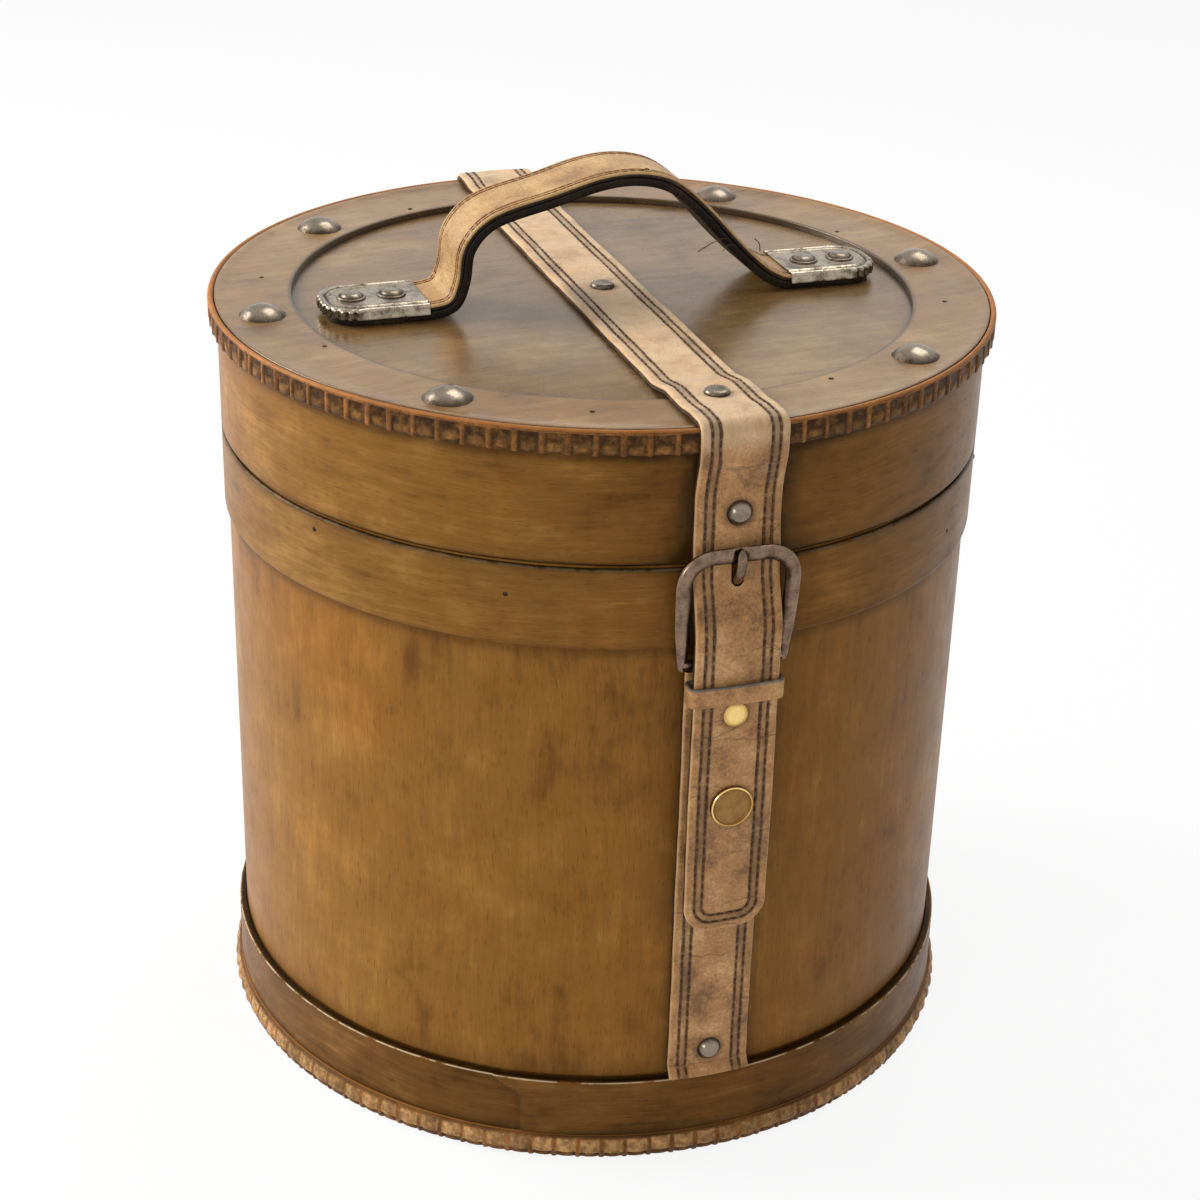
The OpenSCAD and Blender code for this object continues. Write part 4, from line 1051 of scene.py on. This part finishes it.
def over_hinge(obj, bodies, y, z_from, z_to, *nodes, slot="strap_leather"):
    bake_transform(obj)
    if nodes:
        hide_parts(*nodes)


def straps():
    looks = [STRAP_LEATHER, STRAP_EDGE]
    rivets = [STRAP.distance_at(1, 152.6), STRAP.distance_at(1, 191.6), STRAP.distance_at(1, 219.3)]
    rivets += [STRAP.distance_at(0, y) for y in (100.9, 0.0, -100.9)]
    over = strap_piece("strap_over_lid", STRAP, 0.0, STRAP_CUT, looks, dimples=rivets)
    seams = sew("strap_over_lid_stitches", stitch_lines(STRAP, 0, STRAP_CUT, STRAP_HALF, STRAP_T), STRAP_THREAD)
    hinge = (("drum", "lid"), 0.12, 199.6, 207.4)
    over_hinge(over, *hinge, "rear_strap", "lid_strap")
    over_hinge(seams, *hinge)
    spots = [front_at(219.3), front_at(158.4), front_at(128.5)]
    hole = (front_at(204.9), front_at(196.4), 1.9)
    tail = strap_piece("strap_front", STRAP, STRAP_CUT, STRAP.length, looks, tip=TAIL_R, dimples=spots, hole=hole,
                       step=0.9)
    seams = sew("strap_front_stitches", stitch_lines(STRAP, STRAP_CUT, STRAP.length, STRAP_HALF, STRAP_T, TAIL_R),
                STRAP_THREAD, seed=8)
    swing = (("flap", "lid"), -0.12, 208.0, 215.0)
    over_hinge(tail, *swing, "strap_tail")
    over_hinge(seams, *swing)
    low_path = [(-118.65, 170.0), (-118.65, 31.9), (-121.2, 28.5), (-121.2, 26.2)]
    low_path = eased(along(low_path, 0.5), 4)
    low = Strip(low_path, np.ones(len(low_path)))
    rivet = low.distance_at(1, 37.5)
    strip = strap_piece("strap_below", low, 0.0, low.length - 2.2, looks, dimples=[rivet], step=1.1)
    fit_piece(strip, "drum", "strap_leather", "lower_strap")
    seams = sew("strap_below_stitches", stitch_lines(low, 0, low.length - 2.2, STRAP_HALF, STRAP_T), STRAP_THREAD, seed=5)
    fit_piece(seams, "drum", "strap_leather")


def spline(points, steps):
    out = []
    for i in range(len(points) - 1):
        a, b, c, d = (np.asarray(points[min(max(i + k, 0), len(points) - 1)], float) for k in (-1, 0, 1, 2))
        for t in np.arange(steps) / steps:
            out.append(0.5 * (2 * b + (c - a) * t + (2 * a - 5 * b + 4 * c - d) * t**2 + (3 * b - a - 3 * c + d) * t**3))
    return out + [np.asarray(points[-1], float)]


def handle():
    arch = [(-59, 0), (-51.5, 1.7), (-48.3, 9), (-46.6, 19), (-38.5, 27), (-20.5, 32), (-5, 36.2), (7, 37), (18, 34),
            (28.5, 25.4), (39.5, 13.6), (49, 4.6), (55, 0.9), (57.5, 0)]
    line = [(-88.5, 0.0)] + [(p[0], p[1] * 1.002) for p in spline(arch, 6)] + [(59, 0.0), (88.5, 0.0)]
    line = np.array(line)[::-1] + [0, 245.025]
    strip = Strip(eased(along(line, 0.5), 6), handle=True)
    whole = (0.0, strip.length)
    top = strap_piece("handle_top", strip, *whole, [HANDLE_LEATHER, HANDLE_EDGE], HANDLE_HALF, 2.32, 0.53, 1.1, 9.0, True,
                      lines=HANDLE_INSETS, lift=0.05)
    fit_piece(top, "lid", "handle_leather", "handle_strap")
    back = strap_piece("handle_lining", strip, *whole, [BLACK_LEATHER, BLACK_LEATHER], HANDLE_HALF - 0.1, 0.47, -2.3, 1.1,
                       9.0, True, lines=(), lift=0.0, rag=0.7)
    fit_piece(back, "lid", "black_leather", "handle_backing")
    glint = (strip.distance_at(0, 58.0), strip.distance_at(0, -58.0, strip.length / 2))
    seams = sew("handle_stitches", stitch_lines(strip, *glint, HANDLE_HALF, 2.32, insets=HANDLE_INSETS, sink=0.12),
                HANDLE_THREAD, 2.5, 2.4, 0.4, 21)
    fit_piece(seams, "lid", "handle_leather")
    loose_threads()
    for side, node in ((-1, "handle_cap_left"), (1, "handle_cap_right")):
        end_cap(side, node)


def loose_threads():
    """Frayed ends of thread that stand off the handle near its right end."""
    curls = [[(37.5, -11.6, 260.6), (34.0, -14.4, 262.0), (29.5, -16.4, 261.4), (25.5, -15.8, 259.0)],
             [(40.0, -11.6, 258.2), (36.4, -14.4, 259.8), (33.4, -16.2, 258.6)],
             [(56.4, 8.6, 249.0), (55.6, 8.0, 252.0), (54.2, 8.8, 253.4)],
             [(8.0, -10.0, 284.2), (9.4, -11.2, 285.0), (10.4, -10.6, 284.4)]]
    strands = []
    for curl in curls:
        path = np.array(spline(curl, 5))
        strands.append(bar("strand", path, (0.3, 0.9, 0.3), oval(0.17, 0.17, 6, 2), [STRAP_THREAD], sharp=180))
    merge(*strands)
    strands[0].name = "loose_threads"
    fit_piece(strands[0], "lid", "handle_leather")


def end_cap(side, node):
    """A pressed cap on a handle end: a fluted wall round the end, a rolled edge, a bead and a flat top."""
    half, radius, sheet = 12.85, 10.5, 0.8
    straight = np.linspace(CAP_IN_X, CAP_OUT_X - radius, 16)
    turn = np.linspace(0, math.pi / 2, 61)
    right = [(x, half, 0.0, 1.0, 0.0) for x in straight]
    right += [(CAP_OUT_X - radius + radius * math.sin(a), half - radius + radius * math.cos(a), math.sin(a), math.cos(a),
               1.0) for a in turn[1:]]
    end = [(CAP_OUT_X, y, 1.0, 0.0, 1.0) for y in np.linspace(half - radius, 0, 5)[1:]]
    upper = right + end
    outline = np.array(upper + [(x, -y, nx, -ny, f) for x, y, nx, ny, f in upper[-2::-1]])
    run = np.concatenate([[0], np.cumsum(np.linalg.norm(np.diff(outline[:, :2], axis=0), axis=1))])
    flute = (0.5 - 0.5 * np.cos(run * 2 * math.pi / 2.9)) ** 2
    bend = ease((outline[:, 0] - (CAP_OUT_X - radius - 1.5)) / 3)
    spine_x = np.clip(outline[:, 0], CAP_IN_X, CAP_OUT_X - radius - 1.5)
    wall = [(0.0, z, 1.0) for z in np.linspace(244.9, 247.0, 5)]
    roll = [(1.1 * (1 - math.cos(a)), 247.05 + 1.1 * math.sin(a), 0.6 * math.cos(a)) for a in np.radians(np.arange(15, 91, 15))]
    face = [(1.8, 248.12, 0), (2.2, 247.85, 0), (2.6, 247.7, 0), (3.0, 247.85, 0), (3.4, 248.2, 0), (3.9, 248.35, 0),
            (4.4, 248.2, 0), (5.0, 248.02, 0), (6.5, 247.98, 0), (9.0, 248.0, 0), (12.85, 248.02, 0)]
    levels = wall + roll + face
    outer, inner = [], []
    hollow = []
    for i, (x, y, nx, ny, _) in enumerate(outline):
        to_spine = np.array([spine_x[i] - x, -y])
        reach = np.linalg.norm(to_spine)
        row, low = [], []
        for inset, z, fluted in levels:
            lean = 0.65 * min((z - 244.9) / 2.1, 1.0) * (1 - bend[i]) if inset < 1.15 else 0.0
            share = min((inset + lean) / half, 1.0)
            dent = -0.7 * flute[i] * fluted * bend[i]
            p = np.array([x, y]) + to_spine * share + dent * np.array([nx, ny])
            row.append((side * p[0], p[1], z))
            inward = min((max(inset, sheet) + lean) / half, 1.0)
            q = np.array([x, y]) + to_spine * inward
            low.append((side * q[0], q[1], min(z, CAP_TOP - sheet)))
        outer.append(row)
        inner.append(low)
        # Tarnish in the flutes and in the groove by the bead; the foot of the wall, where it meets the lid, is painted
        # shade.
        hollow.append([0.55 * flute[i] * f * bend[i] + 0.8 * math.exp(-(((d - 2.6) / 0.5) ** 2)) + (0.5 if z < 245.2 else 0)
                       for d, z, f in levels])
    inner_end = max(range(len(levels)), key=lambda k: levels[k][0])
    outer, inner = np.array(outer), np.array(inner)
    pattern = np.stack(np.meshgrid(run, np.arange(len(levels), dtype=float), indexing="ij"), 2)
    obj = slab(f"handle_end_{'left' if side < 0 else 'right'}", outer, inner, [CAP_NICKEL, CAP_NICKEL], pattern,
               floats={"hollow": np.array(hollow)}, sharp=70, open_sides=("j+",))
    fit_piece(obj, "lid", "cap_nickel", node)


def head(name, profile, hollows, segments=40):
    """A turned head about Z, from its middle down to its rim, to be put at many places."""
    return turned(name, profile, [NICKEL], segments, floats={"hollow": np.repeat(np.asarray(hollows)[None], segments, 0)},
                  sharp=60)


def dome_profile(radius, height, rim=0.12, rim_dark=0.8, flat=0.0):
    """A low dome on a thin rim; its rim is dark: partly tarnish, partly painted shade that makes the dome look round.
    """
    ball = (radius**2 + height**2) / (2 * height)
    steep = math.asin(radius / ball)
    points, dark = [], []
    for t in np.linspace(0, 1, 11):
        r, z = ball * math.sin(t * steep), height - ball + ball * math.cos(t * steep)
        points.append((r, z - flat * math.exp(-((r / radius / 0.5) ** 2))))
        dark.append(rim_dark * float(ease((t - 0.55) / 0.45)))
    points += [(radius + rim, 0.05), (radius + rim, -0.35), (0, -0.35)]
    return points, dark + [rim_dark] * 3


def ringed_profile(radius, height):
    """A flat dome inside a dark groove and a thin collar."""
    points = [(0, height), (radius * 0.3, height - 0.05), (radius * 0.52, height - 0.28), (radius * 0.66, height - 0.8),
              (radius * 0.72, 0.35), (radius * 0.8, 0.2), (radius * 0.86, 0.45), (radius * 0.95, 0.42), (radius, 0.1),
              (radius, -0.3), (0, -0.3)]
    return points, [0, 0, 0.1, 0.4, 0.95, 1.0, 0.3, 0.2, 0.7, 0.8, 0.8]


def flat_profile(radius, height):
    """A worn flat head with a soft shoulder."""
    points = [(0, height - 0.1), (radius * 0.5, height - 0.08), (radius * 0.68, height), (radius * 0.82, height - 0.15),
              (radius * 0.95, height * 0.55), (radius, 0.1), (radius, -0.35), (0, -0.35)]
    return points, [0.35, 0.3, 0.0, 0.1, 0.5, 0.8, 0.8, 0.8]


def around_z(degrees, radius, height):
    a = math.radians(degrees)
    return (radius * math.cos(a), radius * math.sin(a), height)


def studs(name, body, slot, node, material, profile, places, spread=0.02, seed=11):
    pattern = head(name + "_head", *profile)
    obj = points_object(name, places)
    made_by(STUDS, obj, head=pattern, spread=spread, seed=seed, material=material)
    bpy.data.objects.remove(pattern)
    fit_piece(obj, body, slot, node)


def hardware():
    up, forth, back = (0, 0, 1), (0, -1, 0), (0, 1, 0)
    nails = [(around_z(a, 108, RING_TOP), up) for a in (0, 50, 132, 180, 228, 310)]
    studs("nails", "lid", "nickel", "dome_nails", NICKEL, dome_profile(7.2, 3.6), nails, 0.03, 4)
    rivet = dome_profile(3.7, 2.5)
    flat = [((0, 0, 244.9), up), ((0, 100.9, 246.95), up), ((0, -100.9, 246.95), up)]
    studs("strap_rivets_top", "lid", "nickel", "lid_strap_rivets", NICKEL, flat_profile(3.8, 1.3), flat)
    studs("strap_rivets_side", "lid", "nickel", "lid_strap_rivets", NICKEL, rivet,
          [((0, -122.25, 219.3), forth), ((0, 122.25, 219.3), back)])
    studs("strap_rivets_rear", "drum", "nickel", "rear_strap_rivets", NICKEL, rivet,
          [((0, 122.25, 191.6), back), ((0, 120.85, 152.6), back)], seed=5)
    studs("strap_rivet_below", "drum", "nickel", "lower_strap_rivet", NICKEL, rivet, [((0, -120.85, 37.5), forth)])
    studs("brass_rivet", "flap", "brass", "tail_rivet", BRASS, dome_profile(3.7, 1.1, 0.05, 0.7), [((0, -127.4, 158.4), forth),
          ((0, -122.7, 158.4), back)])
    caps = [((s * x, 0, 248.1), up) for s in (-1, 1) for x in (68.0, 80.5)]
    studs("handle_rivet_heads", "lid", "nickel", "handle_rivets", NICKEL, ringed_profile(4.6, 1.5), caps, seed=9)
    brad = dome_profile(0.85, 0.35, 0.05, 0.3)
    ring = [(around_z(a, 100.9 + 6 * (i % 2), RING_TOP + 0.02), up)
            for i, a in enumerate((20, 74, 112, 161, 198, 250, 292, 338))]
    studs("border_brads", "lid", "dark_iron", "ring_brads", IRON, brad, ring, 0.25, 2)
    collar = [(around_z(a, LID_R - 0.05, 198.3 - 5 * (i % 3)), around_z(a, 1, 0))
              for i, a in enumerate((-152, -121, -46, -28, 20, 65, 118, 160))]
    studs("collar_brad_heads", "drum", "dark_iron", "collar_brads", IRON, brad, collar, 0.25, 6)
    snap()


def on_front(obj, w, z):
    """Turns a part made about Z to face forward, and puts its seat at a place on the front."""
    obj.data.transform(Matrix.Translation((0, -(120 + w) * MM, z * MM)) @ Matrix.Rotation(math.pi / 2, 4, "X"))
    return obj


def snap():
    """The snap: a rimmed brass face on the tail, its magnet behind, and the socket on the strap below."""
    face = [(0, 1.05), (4.2, 1.0), (5.4, 0.9), (5.75, 1.0), (5.95, 1.32), (6.2, 1.42), (6.48, 1.25), (6.6, 0.85), (6.55, 0.1),
            (6.3, 0.0), (2.0, 0.0), (2.0, -2.25), (5.7, -2.25), (5.85, -2.4), (5.85, -4.25), (5.6, -4.4), (0, -4.4)]
    dark = np.array([0.1, 0.1, 0.35, 0.9, 0.2, 0.0, 0.0, 0.5] + [0.9] * 9)
    # Painted shade: beyond the groove, rim and face are darker away from the upper left, so only that side shows
    # bright.
    around = math.pi / 2 + np.arange(64) * math.pi / 32
    painted_light = 0.8 * ease(0.45 - 0.9 * np.cos(around - math.radians(130)))
    dark = dark[None] + painted_light[:, None] * (dark < 0.3)[None] * (np.arange(17) > 3)[None]
    slot_of = [int(4 <= j <= 5) for j in range(17)]
    cap = turned("snap_face", face, [DARK_BRASS, BRASS], 64, slot_of=slot_of, sharp=50,
                 floats={"hollow": dark})
    fit_piece(on_front(cap, 7.45, 128.5), "flap", "dark_brass", "snap_cap")
    ring = [(0, 1.45), (3.6, 1.45), (4.0, 1.6), (4.2, 1.95), (5.5, 1.95), (6.0, 1.6), (6.0, 0), (0, 0)]
    socket = turned("snap_seat", ring, [DARK_BRASS], 48, floats={"hollow": np.full((48, 8), 0.4)}, sharp=50)
    fit_piece(on_front(socket, 0.9, 128.5), "drum", "dark_brass", "snap_socket")


def bar(name, path, across, sections, materials, ring=False, floats=None, sharp=50, slot_of=None):
    """A bar swept along a path. across is the fixed sideways direction, and sections give each loop's
    points as (along across, along the path's own side)."""
    path, across = np.asarray(path, float), np.asarray(across, float)
    if ring:
        way = np.roll(path, -1, 0) - np.roll(path, 1, 0)
    else:
        way = np.gradient(path, axis=0)
    way /= np.linalg.norm(way, axis=1)[:, None]
    side = np.cross(way, across)
    sections = np.asarray(sections, float)
    if sections.ndim == 2:
        sections = np.repeat(sections[None], len(path), 0)
    loops = path[:, None] + sections[..., :1] * across + sections[..., 1:] * side[:, None]
    count, size = loops.shape[:2]
    pattern = np.stack(np.meshgrid(np.arange(count + 1.0), np.arange(size + 1.0), indexing="ij"), 2)
    return skin(name, loops, materials, pattern, ring, slot_of, floats, sharp)


def oval(a, b, count=20, power=2.6):
    t = np.arange(count) * 2 * math.pi / count
    return np.stack([a * np.sign(np.cos(t)) * np.abs(np.cos(t)) ** (2 / power),
                     b * np.sign(np.sin(t)) * np.abs(np.sin(t)) ** (2 / power)], 1)


def buckle():
    half, corner, top = 16.45, 8.65, BUCKLE_REACH
    left = [(-half, t) for t in np.linspace(-1.6, top - corner, 26)]
    arc = [(-half + corner - corner * math.cos(a), top - corner + corner * math.sin(a)) for a in np.linspace(0, math.pi / 2, 15)[1:]]
    bridge = [(x, top) for x in np.linspace(-half + corner, 0, 12)[1:]]
    upper = left + arc + bridge
    path = np.array(upper + [(-x, t) for x, t in upper[-2::-1]])
    path[:, 0] *= 1 - 0.06 * ease(1 - path[:, 1] / 24)
    wide = 2.35 * (0.66 + 0.34 * ease((path[:, 1] + 1.6) / 13))
    wide *= np.sqrt(np.clip(1 - (np.clip(-path[:, 1], 0, None) / 1.95) ** 2, 0.1, 1))
    dip = 1.2 * np.exp(-((path[:, 0] / 2.3) ** 6)) * (path[:, 1] > top - 1)
    thick = 1.3 * (0.85 + 0.15 * ease((path[:, 1] - 2) / 20))
    loops = []
    for (x, t), w, d, b in zip(path, wide, dip, thick):
        section = oval(b, w, 24, 2.15)
        section[:, 0] -= d * (section[:, 0] > 0) * section[:, 0] / b
        loops.append(section)
    tilt = np.array([0, -math.sin(BUCKLE_TILT), math.cos(BUCKLE_TILT)])
    outward = np.array([0, -math.cos(BUCKLE_TILT), -math.sin(BUCKLE_TILT)])
    base = np.array([0, -(120 + BAR_W), BAR_Z])
    spine = base + path[:, :1] * np.array([1.0, 0, 0]) + path[:, 1:] * tilt
    # Painted shade and highlight: the frame's inner side is darker and its outer edges stay bright, as on a bevelled
    # bar.
    inner = ease(np.array(loops)[..., 1] / wide[:, None] * 1.5 - 0.2)
    frame_bar = bar("buckle_bow", spine, outward, loops, [BRONZE], floats={"hollow": 0.75 * inner})
    rod_path = [(x, -(120 + BAR_W), BAR_Z) for x in np.linspace(-half * 0.94, half * 0.94, 9)]
    rod = bar("rod", rod_path, (0, 1, 0), oval(1.4, 1.4, 20, 2), [BRONZE])
    merge(frame_bar, rod)
    fit_piece(frame_bar, "buckle", "dark_bronze", "buckle_frame")
    prong()
    keeper()
    bar_fold()


def merge(first, *others):
    """Joins the meshes of pieces into the first one."""
    tidy = bmesh.new()
    tidy.from_mesh(first.data)
    for other in others:
        tidy.from_mesh(other.data)
        bpy.data.objects.remove(other)
    tidy.to_mesh(first.data)
    tidy.free()


def prong():
    line = [(0.95, 176.0), (0.9, 180), (1.1, 195.9), (5.0, 201.6), (5.9, 204.6), (5.95, 207.5), (5.55, 209.3)]
    path = eased(along([(-(120 + w), z) for w, z in line], 0.6), 3)
    path = np.stack([np.zeros(len(path)), path[:, 0], path[:, 1]], 1)
    size = np.ones(len(path))
    size[-5:] = [0.98, 0.93, 0.82, 0.62, 0.3]
    loops = [oval(1.5 * k, 0.85 * k, 16, 2.2) for k in size]
    shank = bar("prong", path, (1, 0, 0), loops, [BRONZE])
    turn = np.arange(28) * 2 * math.pi / 28
    eye_path = np.stack([np.zeros(28), -(120 + BAR_W) + 1.85 * np.cos(turn), BAR_Z + 1.85 * np.sin(turn)], 1)
    merge(shank, bar("eye", eye_path, (1, 0, 0), oval(1.5, 0.4, 12, 3), [BRONZE], True))
    fit_piece(shank, "prong", "dark_bronze", "buckle_prong")


def keeper():
    """The keeper: a band of leather round the tail, its ends glued behind."""
    x, back, front, r = 14.1, 2.4, 8.35, 2.2
    corners = [(x, back), (x, front), (-x, front), (-x, back)]
    outline = rounded([(a, -(120 + w)) for a, w in corners], [1.6, r, r, 1.6], 8)
    outline = walled(outline, 0.9)
    bow = 0.35 * np.cos(np.clip(outline[:, 0] / 13, -1, 1) * math.pi / 2) * (outline[:, 1] < -127)
    path = np.stack([outline[:, 0], outline[:, 1] - bow, np.full(len(outline), 165.55)], 1)
    section = oval(3.05, 0.6, 20, 5)
    section[:, 1] += 0.12 * np.cos(section[:, 0] / 3.05 * math.pi / 2)
    dark = 0.6 * ease((-section[:, 0] - 2.75) / 0.3)
    painted = [int((section[j, 0] + section[(j + 1) % 20, 0]) / 2 > 2.3) for j in range(20)]
    obj = bar("keeper", path, (0, 0, 1), section, [KEEPER_LEATHER, KEEPER_EDGE], True,
              {"grime": np.repeat(dark[None], len(path), 0)}, slot_of=lambda i, j: painted[j])
    fit_piece(obj, "keeper", "strap_leather", "keeper_loop")


def bar_fold():
    """The short leather piece folded round the buckle's bar behind the tail, slotted for the prong."""
    turn = np.radians(np.arange(20, 161, 14))
    eye = [(BAR_W + 1.9 * math.cos(a), BAR_Z + 1.9 * math.sin(a)) for a in turn]
    line = [(4.68, 152.0), (4.68, 170.3)] + eye + [(3.78, 170.3), (3.78, 152.0)]
    path = eased(along([(-(120 + w), z) for w, z in line], 0.45), 3)
    strip = Strip(path)
    rows = strip.run
    flat = np.array([-12, -11.8, -11.4, -9, -6, -3, -1.9, 1.9, 3, 6, 9, 11.4, 11.8, 12])
    across, distance = np.meshgrid(flat, rows)
    keep = np.ones((len(rows) - 1, len(flat) - 1), bool)
    middle = (path[1:, 1] + path[:-1, 1]) / 2
    keep[np.ix_(middle > BAR_Z - 3.2, (flat[1:] + flat[:-1]) == 0)] = False
    pattern = np.stack([across, distance], 2)
    obj = slab("bar_leather", strip.place(across, distance, 0.44), strip.place(across, distance, -0.44),
               [STRAP_EDGE, STRAP_EDGE], pattern, keep)
    fit_piece(obj, "flap", "strap_leather", "buckle_loop")


def stage_and_light():
    floor, shader, n = principled("floor", Base_Color=(0.95, 0.95, 0.95, 1.0), Roughness=0.9, Specular_IOR_Level=0.0)
    rays = n.add("ShaderNodeLightPath")
    seen = n.math("MAXIMUM", rays.outputs["Is Camera Ray"], rays.outputs["Is Glossy Ray"])
    seen = n.math("MAXIMUM", seen, rays.outputs["Is Transmission Ray"])
    glow = n.add("ShaderNodeEmission", {"Color": (1.0, 1.0, 1.0, 1.0), "Strength": 1.0}).outputs[0]
    both = n.add("ShaderNodeMixShader", {0: n.math("MULTIPLY", seen, 0.87), 1: shader.outputs[0], 2: glow}).outputs[0]
    end = next(x for x in floor.node_tree.nodes if x.type == "OUTPUT_MATERIAL")
    n.put(both, end.inputs["Surface"])
    mesh = bpy.data.meshes.new("floor")
    mesh.from_pydata([(-40, -40, 0), (40, -40, 0), (40, 40, 0), (-40, 40, 0)], [], [(0, 1, 2, 3)])
    mesh.materials.append(floor)
    add_object("floor", mesh)
    world = bpy.data.worlds.new("studio")
    bpy.context.scene.world = world
    world.use_nodes = True
    w = Nodes(world.node_tree)
    back = next(x for x in world.node_tree.nodes if x.type == "BACKGROUND")
    rays = w.add("ShaderNodeLightPath")
    seen = w.math("MAXIMUM", rays.outputs["Is Camera Ray"], rays.outputs["Is Glossy Ray"])
    seen = w.math("MAXIMUM", seen, rays.outputs["Is Transmission Ray"])
    w.put(w.math("MULTIPLY_ADD", seen, 1 - WORLD_LIGHT, WORLD_LIGHT), back.inputs["Strength"])
    back.inputs["Color"].default_value = (1.0, 1.0, 1.0, 1.0)
    for name, place, size, power in LAMPS:
        lamp = bpy.data.lights.new(name, "AREA")
        lamp.shape = "SQUARE"
        lamp.size = size
        lamp.energy = power
        obj = bpy.data.objects.new(name, lamp)
        obj.location = place
        obj.rotation_euler = (Vector((0, 0, 0.13)) - Vector(place)).to_track_quat("-Z", "Y").to_euler()
        bpy.context.scene.collection.objects.link(obj)


WORLD_LIGHT = 0.34
LAMPS = (
    ("key lamp", (-1.15, 0.75, 0.95), 0.8, 26.0),
    ("left lamp", (-1.1, -0.8, 0.6), 0.45, 5.0),
    ("top lamp", (0.5, 0.35, 1.4), 0.8, 7.0),
)


def camera():
    """The photograph's view, from a fit to the rims, hoops and foot."""
    lens = bpy.data.cameras.new("camera")
    lens.lens = 75.044
    lens.sensor_width = 36.0
    lens.shift_x = 0.006
    lens.shift_y = 0.0345
    turn = Matrix.Rotation(math.radians(-19.0), 4, "Z")
    high = math.radians(26.747)
    place = turn @ Vector((0, -0.84053 * math.cos(high), 0.12 + 0.84053 * math.sin(high)))
    obj = bpy.data.objects.new("camera", lens)
    tilt = Matrix.Rotation(math.pi / 2 - high, 4, "X") @ Matrix.Rotation(math.radians(1.53), 4, "Z")
    obj.matrix_world = Matrix.Translation(place) @ turn @ tilt
    bpy.context.scene.collection.objects.link(obj)
    bpy.context.scene.camera = obj


camera()
stage_and_light()
drum()
lid()
mouldings()
straps()
handle()
hardware()
buckle()
bpy.context.scene.view_settings.view_transform = "Standard"
